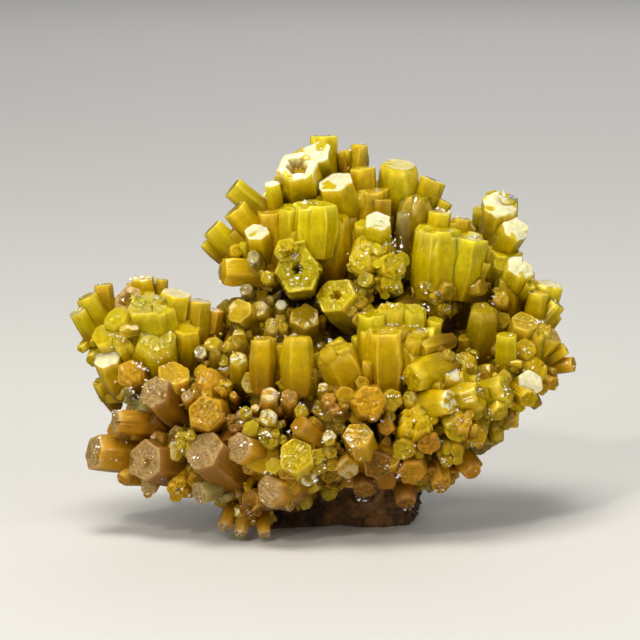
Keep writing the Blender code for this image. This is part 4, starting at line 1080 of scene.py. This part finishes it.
def add_filling(heap, spots, tones, everything, rng):
    """Middle-sized crystals between the main ones."""
    for point, aim, width in zip(*spots):
        if depth_below(point, aim, everything) < THINNEST_HOST * width:
            continue
        tone = np.array(tones[rng.integers(len(tones))]) * rng.uniform(*FILLING_SHADES)
        cap = FILLING_CAPS[rng.integers(len(FILLING_CAPS))]
        form = FILLING_FORMS[rng.integers(len(FILLING_FORMS))]
        top = width * rng.uniform(*FILLING_TOPS)
        frame = frame_at(point, aim, rng.uniform(0.0, math.tau))
        small_prism(heap, frame, width, -FILLING_DEPTH * width, top, tone, cap, form, rng)


def inside_a_prism(point, standing):
    """Whether a point is well inside one of the main crystals."""
    for frame, crystal in standing:
        top = -INSIDE_BELOW * crystal.width
        if within(seen_from(frame, point), crystal.width * INSIDE_AXIS, -crystal.length, top):
            return True
    return False


def inside_box(frame, radius, box):
    """Whether a square round a crystal's end is inside a box given in metres."""
    corners = np.array([(x * radius, y * radius, 0.0) for x in (-1.0, 1.0) for y in (-1.0, 1.0)])
    points = moved(corners, frame)
    low, high = np.array(box) / METRES_PER_MM
    return bool(np.all(points > low) and np.all(points < high))


def add_companions(heap, standing, everything, cad_box, rng):
    """Smaller crystals grown against the main ones, nearly parallel to them."""
    for frame, crystal in standing:
        for _ in range(COMPANIONS):
            width = crystal.width * rng.uniform(*COMPANION_WIDTHS)
            turn = rng.uniform(0.0, math.tau)
            sideways = frame[:3, :3] @ np.array([math.cos(turn), math.sin(turn), 0.0])
            hides_it = Vector(sideways).dot(direction(0.0, 0.0, 1.0)) > MOST_IN_FRONT
            if width < THINNEST_COMPANION or crystal.width > WIDEST_WIDENED or hides_it:
                continue
            out = 0.5 * (crystal.width + width) * rng.uniform(*COMPANION_REACH)
            drop = crystal.width * rng.uniform(*COMPANION_DROPS)
            own_frame = frame_beside(frame, turn, out, drop, rng.uniform(0.0, COMPANION_LEAN))
            tip = own_frame[:3, 3]
            near = everything.find_nearest(Vector(tip), NEAR_SOLID_MM + NEAR_SOLID * width)[0]
            if near is None or inside_a_prism(tip, standing):
                continue
            if not inside_box(own_frame, COMPANION_SPACE * width, cad_box):
                continue
            tone = np.array(crystal.tone) * rng.uniform(*COMPANION_SHADES)
            cap = ROUGH if rng.random() < ROUGH_SHARE else PLAIN
            form = COMPANION_FORMS[rng.integers(len(COMPANION_FORMS))]
            small_prism(heap, own_frame, width, -COMPANION_LENGTH * width, 0.0, tone, cap, form, rng)


def add_crusts(heap, standing, rng):
    """A ragged ring of smaller crystals round the end of each one that has a crust."""
    for frame, crystal in standing:
        if crystal.habit != CRUST:
            continue
        start = rng.uniform(0.0, math.tau)
        for number in range(RING_COUNT):
            turn = start + number * math.tau / RING_COUNT + rng.uniform(-RING_TURN, RING_TURN)
            width = crystal.width * rng.uniform(*RING_WIDTHS)
            drop = crystal.width * rng.uniform(*RING_DROPS)
            own_frame = frame_beside(frame, turn, RING_REACH * crystal.width, drop, rng.uniform(*RING_LEAN))
            root = -RING_LENGTH * width
            small_prism(heap, own_frame, width, root, 0.0, crystal.tone, crystal.cap, BLUNT, rng)


def glint_spots(frame, crystal, rng):
    """Places for glints on one crystal: a cluster on its end, and some down its sides."""
    width = crystal.width
    count = int((GLINTS_EACH + GLINTS_PER_MM * width * crystal.cap.grainy) * rng.uniform(*GLINT_SHARES))
    middle = rng.uniform(0.0, math.tau)
    apart = rng.normal(0.0, GLINT_CLUSTER * width, (count, 2))
    beside = rng.random(count) < GLINTS_BESIDE
    far = rng.uniform(*GLINT_PLACES) * width
    x = far * math.cos(middle) + apart[:, 0]
    y = far * math.sin(middle) + apart[:, 1]
    out = np.hypot(x, y)
    beyond = np.where(beside | (out > GLINT_RIM * width), GLINT_SIDE * width / out, 1.0)
    below = np.where(beside, -GLINT_DEPTH * width * rng.random(count) ** 2.0, GLINT_ABOVE_MM)
    return moved(np.column_stack([x * beyond, y * beyond, below]), frame)


def add_glints(heap, standing, rng):
    """Tiny mirror-like faces on the crystals, turned to the overhead panel and coloured pale as a painted
    glint.
    """
    to_panel = (Vector(PANEL_AT) - LIT_SPOT_M).normalized()
    mirror = np.array((direction(0.0, 0.0, 1.0) + to_panel).normalized())
    tips = np.concatenate([glint_spots(frame, crystal, rng) for frame, crystal in standing])
    count = len(tips)
    axes = unit(mirror + rng.normal(0.0, GLINT_TURN, (count, 3)))
    low, high = GLINT_WIDTHS
    widths = low * (high / low) ** (rng.random(count) ** GLINT_POWER)
    side = unit(np.cross(axes, rng.normal(size=(count, 3)))) * widths[:, None]
    other = GLINT_HALF * np.cross(axes, side) * rng.uniform(*GLINT_NARROWING, (count, 1))
    back = tips - GLINT_BACK * side
    under = tips - GLINT_THICK * axes * widths[:, None]
    points = np.stack([tips + GLINT_TIP * side, back + other, back - other, under], axis=1).reshape(-1, 3)
    faces = np.array([[0, 1, 2], [0, 3, 1], [1, 3, 2], [2, 3, 0]])
    triangles = faces[None] + 4 * np.arange(count)[:, None, None]
    # Painted glint: the faces are pale from every side, not only where they mirror the panel
    tones = np.broadcast_to(np.array(PAINTED_GLINT_TONE), points.shape)
    heap.append(Shapes(points, tones, points, np.zeros(len(points)), NO_QUADS, triangles.reshape(-1, 3)))


def bevelled_crystal():
    """A short six-sided crystal with a bevelled end, one wide and one long."""
    angle = np.arange(SIDES) * math.tau / SIDES
    rings = []
    for radius, height in BEVELLED_RINGS:
        ring = [np.cos(angle) * radius, np.sin(angle) * radius, np.full(SIDES, height)]
        rings.append(np.column_stack(ring))
    quads, _ = grid_faces(len(rings), SIDES)
    end = np.array([[0, 1, 2, 3], [0, 3, 4, 5]])
    under, over = end[:, [0, 3, 2, 1]], end + (len(rings) - 1) * SIDES
    return np.concatenate(rings), np.concatenate([quads, under, over])


def add_druse(heap, spots, tones, rng):
    """The finest crystals between the others, all at once."""
    points, aims, widths = spots
    count = len(points)
    lengths = widths * rng.uniform(*DRUSE_LENGTHS, count)
    colours = np.array(tones)[rng.integers(0, len(tones), count)] * rng.uniform(*DRUSE_SHADES, (count, 1))
    tips = points + aims * (lengths * rng.uniform(*DRUSE_TOPS, count))[:, None]
    other = unit(np.cross(aims, rng.normal(size=(count, 3))))
    basis = np.stack([other, np.cross(aims, other), aims], axis=1)
    shape, quads = bevelled_crystal()
    scaled = shape[None] * np.stack([widths, widths, lengths], axis=1)[:, None, :]
    # Painted shade on the lower part of each, where it meets the surface
    painted_root_shade = np.where(shape[:, 2] < -0.5, PAINTED_DRUSE_ROOT_SHADE, 1.0)[None, :, None]
    faces = quads[None] + (np.arange(count) * len(shape))[:, None, None]
    heap.append(Shapes(
        (tips[:, None, :] + np.einsum("nvk,nkd->nvd", scaled, basis)).reshape(-1, 3),
        (colours[:, None, :] * painted_root_shade).reshape(-1, 3),
        (scaled + rng.uniform(*NOISE_PLACES, (count, 1, 3))).reshape(-1, 3),
        np.full(count * len(shape), DRUSE_GRAIN),
        faces.reshape(-1, 4),
        NO_TRIANGLES,
    ))


def new_object(name, data):
    """A new object in the scene."""
    made = bpy.data.objects.new(name, data)
    bpy.context.scene.collection.objects.link(made)
    return made


def piece_of(heap, name, cad_box, material):
    """The gathered shapes as one piece of the specimen, in metres and inside the solids' box."""
    mesh = bpy.data.meshes.new(name)
    first = np.cumsum([0] + [len(shape.points) for shape in heap])
    numbered = [
        shape._replace(quads=shape.quads + start, triangles=shape.triangles + start)
        for shape, start in zip(heap, first)
    ]
    points, tones, places, grainy, quads, triangles = map(np.concatenate, zip(*numbered))
    points = np.clip(points * METRES_PER_MM, cad_box[0], cad_box[1])
    quads, triangles = quads.astype(np.int32), triangles.astype(np.int32)
    mesh.vertices.add(len(points))
    mesh.vertices.foreach_set("co", points.astype(np.float32).ravel())
    mesh.loops.add(quads.size + triangles.size)
    mesh.loops.foreach_set("vertex_index", np.concatenate([quads.ravel(), triangles.ravel()]))
    starts = np.concatenate([np.arange(len(quads)) * 4, quads.size + np.arange(len(triangles)) * 3])
    mesh.polygons.add(len(starts))
    mesh.polygons.foreach_set("loop_start", starts.astype(np.int32))
    mesh.update(calc_edges=True)
    carried = (
        ("tone", "FLOAT_COLOR", "color", np.column_stack([tones, np.ones(len(tones))])),
        ("place", "FLOAT_VECTOR", "vector", places),
        ("grainy", "FLOAT", "value", grainy),
    )
    for label, kind, part, values in carried:
        mesh.attributes.new(label, kind, "POINT").data.foreach_set(part, values.astype(np.float32).ravel())
    mesh.shade_smooth()
    mesh.set_sharp_from_angle(angle=SHARP_ANGLE)
    mesh.materials.append(material)
    piece = new_object(name, mesh)
    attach(piece, "root")
    return piece


def fill_inputs(tree, made, inputs):
    """Fills a shader node's inputs, each with a value or from another node's output."""
    for name, value in inputs.items():
        if isinstance(value, bpy.types.NodeSocket):
            tree.links.new(value, made.inputs[name])
        else:
            made.inputs[name].default_value = value


def node_output(tree, kind, inputs, output, **settings):
    """One output of a new shader node with these settings and inputs."""
    made = tree.nodes.new(kind)
    for name, value in settings.items():
        setattr(made, name, value)
    fill_inputs(tree, made, inputs)
    return made.outputs[output]


def carried_value(tree, name, output):
    """One of the values that a piece's points carry."""
    return node_output(tree, "ShaderNodeAttribute", {}, output, attribute_name=name)


def scaled_noise(tree, source, layer):
    """Noise read at scaled places, which stretches it along the axis with the smallest scale."""
    places = node_output(tree, "ShaderNodeMapping", {"Vector": source, "Scale": layer.scale}, "Vector")
    inputs = {"Vector": places, "Scale": 1.0, "Detail": layer.detail, "Roughness": NOISE_ROUGHNESS}
    return node_output(tree, "ShaderNodeTexNoise", inputs, "Fac")


def spread(tree, source, low, high):
    """Noise carried from its usual range to a new one."""
    least, most = NOISE_RANGE
    inputs = {"Value": source, "From Min": least, "From Max": most, "To Min": low, "To Max": high}
    return node_output(tree, "ShaderNodeMapRange", inputs, "Result")


def combined(tree, operation, first, second):
    """Two values multiplied or added."""
    return node_output(tree, "ShaderNodeMath", {0: first, 1: second}, 0, operation=operation)


def shaded(tree, colour, value):
    """A colour made lighter or darker by a value."""
    return node_output(tree, "ShaderNodeVectorMath", {0: colour, "Scale": value}, 0, operation="SCALE")


def bump(tree, height, layer, under=None):
    """A bump, laid over another if there is one."""
    inputs = {"Height": height, "Strength": layer.strength, "Distance": layer.height_mm * METRES_PER_MM}
    if under is not None:
        inputs["Normal"] = under
    return node_output(tree, "ShaderNodeBump", inputs, "Normal")


def new_material(name):
    """A new material, its nodes and its shader."""
    material = bpy.data.materials.new(name)
    material.use_nodes = True
    return material, material.node_tree, material.node_tree.nodes["Principled BSDF"]


def crystal_material(name, glow, specks):
    """Translucent crystal with fine lines along it, cloudy zones, and dull grains on its grainy ends."""
    material, tree, shader = new_material(name)
    spot = carried_value(tree, "place", "Vector")
    grainy = carried_value(tree, "grainy", "Fac")
    colour = carried_value(tree, "tone", "Color")
    normal = None
    for layer in (LINES, CLOUDS, RIPPLES):
        pattern = scaled_noise(tree, spot, layer)
        colour = shaded(tree, colour, spread(tree, pattern, *layer.shades))
        normal = bump(tree, pattern, layer, normal)
    pattern = scaled_noise(tree, spot, specks)
    inputs = {"Factor": grainy, "A": 1.0, "B": spread(tree, pattern, *specks.shades)}
    colour = shaded(tree, colour, node_output(tree, "ShaderNodeMix", inputs, "Result", data_type="FLOAT"))
    duller = combined(tree, "MULTIPLY", grainy, GRAINY_DULLNESS)
    grains = combined(tree, "ADD", combined(tree, "MULTIPLY", grainy, SPECKS_ON_GRAINS), SPECKS_EVERYWHERE)
    fill_inputs(tree, shader, CRYSTAL)
    fill_inputs(tree, shader, {
        "Base Color": colour,
        "Roughness": combined(tree, "ADD", spread(tree, pattern, *GLOSS), duller),
        "Normal": bump(tree, combined(tree, "MULTIPLY", pattern, grains), specks, normal),
        "Subsurface Weight": glow,
    })
    return material


def rock_material():
    """Dark brown rock stained by iron, with ochre patches and black specks."""
    material, tree, shader = new_material("rock_surface")
    spot = node_output(tree, "ShaderNodeTexCoord", {}, "Object")
    patches = scaled_noise(tree, spot, PATCHES)
    grains = scaled_noise(tree, spot, GRAINS)
    ramp = tree.nodes.new("ShaderNodeValToRGB")
    stops = ramp.color_ramp.elements
    stops.new(ROCK_COLOURS[1][0])
    for stop, (position, colour) in zip(stops, ROCK_COLOURS):
        stop.position = position
        stop.color = colour
    fill_inputs(tree, ramp, {"Fac": patches})
    fill_inputs(tree, shader, {
        "Base Color": shaded(tree, ramp.outputs["Color"], spread(tree, grains, *GRAINS.shades)),
        "Roughness": spread(tree, grains, *ROCK_DULLNESS),
        "Normal": bump(tree, grains, GRAINS, bump(tree, patches, PATCHES)),
    })
    return material


def rock_relief(spot, height, fineness, smoothness):
    """One kind of unevenness of the rock, in millimetres."""
    return height * noise.fractal(spot * fineness, smoothness, *ROCK_OCTAVES)


def rough_rock(node, material):
    """The matrix with a broken surface. Its flat underside stays flat."""
    rock = new_object("rock", node.data.copy())
    rock.data.name = "rock"
    finer = rock.modifiers.new("finer", "REMESH")
    finer.mode = "VOXEL"
    finer.voxel_size = ROCK_VOXEL_MM * METRES_PER_MM
    fine = bpy.data.meshes.new_from_object(rock.evaluated_get(bpy.context.evaluated_depsgraph_get()))
    rock.modifiers.clear()
    rock.data = fine
    points, normals = vertices_of(fine)
    for number, (point, normal) in enumerate(zip(points, normals)):
        spot = Vector(point)
        depth = rock_relief(spot, *ROCK_LUMPS) + (rock_relief(spot, *ROCK_CRUMBS) - ROCK_SINK)
        if point[2] > ROCK_VOXEL_MM:
            points[number] = point + normal * depth
    points[:, 2] = np.where(points[:, 2] < ROCK_FLAT_BELOW, 0.0, points[:, 2])
    fine.vertices.foreach_set("co", (points * METRES_PER_MM).astype(np.float32).ravel())
    fine.materials.clear()
    fine.materials.append(material)
    fine.shade_flat()
    fine.update()
    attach(rock, "root")
    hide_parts("matrix")
    return rock


def core_surface(node, standing):
    """A solid's surface, cut finer, moved inwards by an uneven depth and kept inside its prisms."""
    finer = new_object("finer", node.data.copy())
    cut = finer.modifiers.new("cut", "SUBSURF")
    cut.subdivision_type = "SIMPLE"
    cut.levels = 1
    fine = finer.evaluated_get(bpy.context.evaluated_depsgraph_get()).to_mesh()
    points, normals = vertices_of(fine)
    quads = np.array([tuple(face.vertices) for face in fine.polygons if len(face.vertices) == 4])
    triangles = np.array([tuple(face.vertices) for face in fine.polygons if len(face.vertices) == 3])
    finer.to_mesh_clear()
    bpy.data.objects.remove(finer)
    fineness, smoothness, *octaves = INSET_NOISE
    uneven = [noise.fractal(Vector(point) * fineness, smoothness, *octaves) for point in points]
    inward = np.maximum(LEAST_INSET, CORE_INSET + CORE_ROUGHNESS * np.array(uneven))
    points = points - normals * inward[:, None]
    for frame, crystal in standing:
        local = seen_from(frame, points)
        chosen = within(local, crystal.width * CORE_AXIS, -crystal.length * CORE_LENGTH, ABOVE_END_MM)
        local[:, :2] *= CORE_SHRINK
        local[:, 2] = np.minimum(local[:, 2], -CORE_BELOW_END * crystal.width)
        points[chosen] = moved(local[chosen], frame)
    return points, quads.reshape(-1, 4), triangles.reshape(-1, 3)


def core_of(spray, node, standing):
    """The massive crystal that a spray's prisms grow from, which shows between them."""
    points, quads, triangles = core_surface(node, standing)
    clouds = np.array([noise.noise(Vector(point) * CORE_CLOUD) for point in points])
    light, dark = np.array(CORE_TONES[spray.slot])
    tones = dark + (light - dark) * smooth_step(CORE_MIDDLE + CORE_CONTRAST * clouds)[:, None]
    return [Shapes(points, tones, points, np.ones(len(points)), quads, triangles)]


def main_prisms(standing, cad_box, rng):
    """A spray's main crystals."""
    heap = []
    for frame, crystal in standing:
        skin = skin_of(crystal.tone, crystal.cap, rng)
        radius = crystal.width / 2.0
        widening = WIDENING_IN_FRONT if crystal.toward > IN_FRONT_MM else WIDENING
        if crystal.width < WIDEST_WIDENED and inside_box(frame, radius * widening, cad_box):
            radius *= widening
        top = -RING_HOLLOW * crystal.width if crystal.habit == CRUST else 0.0
        prism(heap, frame, radius, -crystal.length, top, skin, crystal.habit, crystal.form, rng)
    return heap


def add_spray(spray, node, everything, cad_box, material):
    """One spray: its main crystals and massive crystal, and the smaller ones between them."""
    rng = np.random.default_rng(spray.seed)
    standing = standing_crystals(spray)
    prisms = main_prisms(standing, cad_box, rng)
    piece = piece_of(prisms, spray.node + "_prisms", cad_box, material)
    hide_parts(spray.node)
    core = piece_of(core_of(spray, node, standing), spray.node + "_core", cad_box, material)
    shown = tree_of(np.concatenate([node_triangles(piece), node_triangles(core)]))
    between = []
    add_companions(between, standing, everything, cad_box, rng)
    add_crusts(between, standing, rng)
    add_glints(between, standing, rng)
    triangles = node_triangles(node)
    for filling in spray.filling:
        spots = seated(free_spots(triangles, everything, standing, filling, rng), shown)
        add_between(between, spots, filling, everything, rng)
    piece_of(between, spray.node + "_small", cad_box, material)


def add_between(heap, spots, filling, everything, rng):
    """One size of small crystals."""
    if filling.widths[1] > FINE_WIDTH_MM:
        add_filling(heap, spots, filling.tones, everything, rng)
    else:
        add_druse(heap, spots, filling.tones, rng)


def add_rock_crystals(triangles, everything, rock, cad_box, material):
    """Crystals scattered over the rock, thinning out towards its base."""
    rng = np.random.default_rng(ROCK_SEED)
    shown = tree_of(node_triangles(rock))
    heap = []
    for filling in ROCK_FILLING:
        points, aims, widths = free_spots(triangles, everything, [], filling, rng)
        keep = points[:, 2] > ROCK_BARE_MM + ROCK_THINNING_MM * rng.random(len(points))
        add_between(heap, seated((points[keep], aims[keep], widths[keep]), shown), filling, everything, rng)
    piece_of(heap, "rock_crystals", cad_box, material)


def light_the_scene():
    """Soft lights that look at the specimen's middle, and a dim surrounding."""
    for light in LIGHTS:
        data = bpy.data.lights.new(light.name, "AREA")
        data.shape = "RECTANGLE"
        data.size, data.size_y = light.size
        data.energy = light.power
        data.color = light.colour
        lamp = new_object(light.name, data)
        lamp.location = light.spot
        lamp.rotation_euler = (LIT_SPOT_M - Vector(light.spot)).to_track_quat("-Z", "Y").to_euler()
        lamp.visible_camera = False
        lamp.visible_glossy = light.mirrored
    world = bpy.data.worlds.new("pale_surround")
    world.use_nodes = True
    fill_inputs(world.node_tree, world.node_tree.nodes["Background"], SURROUND)
    bpy.context.scene.world = world


def add_floor():
    """A plain pale floor, kept out of what the shiny faces mirror, as in the photograph."""
    mesh = bpy.data.meshes.new("floor")
    half = FLOOR_HALF_M
    corners = [(-half, -half, 0.0), (half, -half, 0.0), (half, half, 0.0), (-half, half, 0.0)]
    mesh.from_pydata(corners, [], [(0, 1, 2, 3)])
    material, tree, shader = new_material("floor_surface")
    fill_inputs(tree, shader, FLOOR)
    mesh.materials.append(material)
    floor = new_object("floor", mesh)
    floor.visible_glossy = False
    floor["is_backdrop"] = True


def add_camera():
    """The camera at the photograph's viewing angle."""
    data = bpy.data.cameras.new("camera")
    data.sensor_width = SENSOR_WIDTH
    data.lens = SENSOR_WIDTH * VIEW_DISTANCE / VIEW_WIDTH
    data.clip_start = NEAREST_SEEN_M
    camera = new_object("camera", data)
    back = direction(0.0, 0.0, 1.0)
    camera.location = (MIDDLE + back * VIEW_DISTANCE) * METRES_PER_MM
    camera.rotation_euler = (-back).to_track_quat("-Z", "Y").to_euler()
    bpy.context.scene.camera = camera


def build():
    """Makes the whole scene, and gives the solids' box."""
    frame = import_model()
    cad_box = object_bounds()
    nodes = frame["nodes"]
    add_camera()
    solids = {name: node_triangles(node) for name, node in nodes.items()}
    everything = tree_of(np.concatenate(list(solids.values())))
    yellow = crystal_material("yellow_crystal", YELLOW_GLOW, YELLOW_SPECKS)
    brown = crystal_material("brown_crystal", BROWN_GLOW, BROWN_SPECKS)
    for spray in SPRAYS:
        material = brown if spray.slot == BROWN_SLOT else yellow
        add_spray(spray, nodes[spray.node], everything, cad_box, material)
    rock = rough_rock(nodes["matrix"], rock_material())
    add_rock_crystals(solids["matrix"], everything, rock, cad_box, brown)
    add_floor()
    light_the_scene()
    bpy.context.scene.view_settings.view_transform = "Standard"
    return cad_box


CAD_BOX = build()
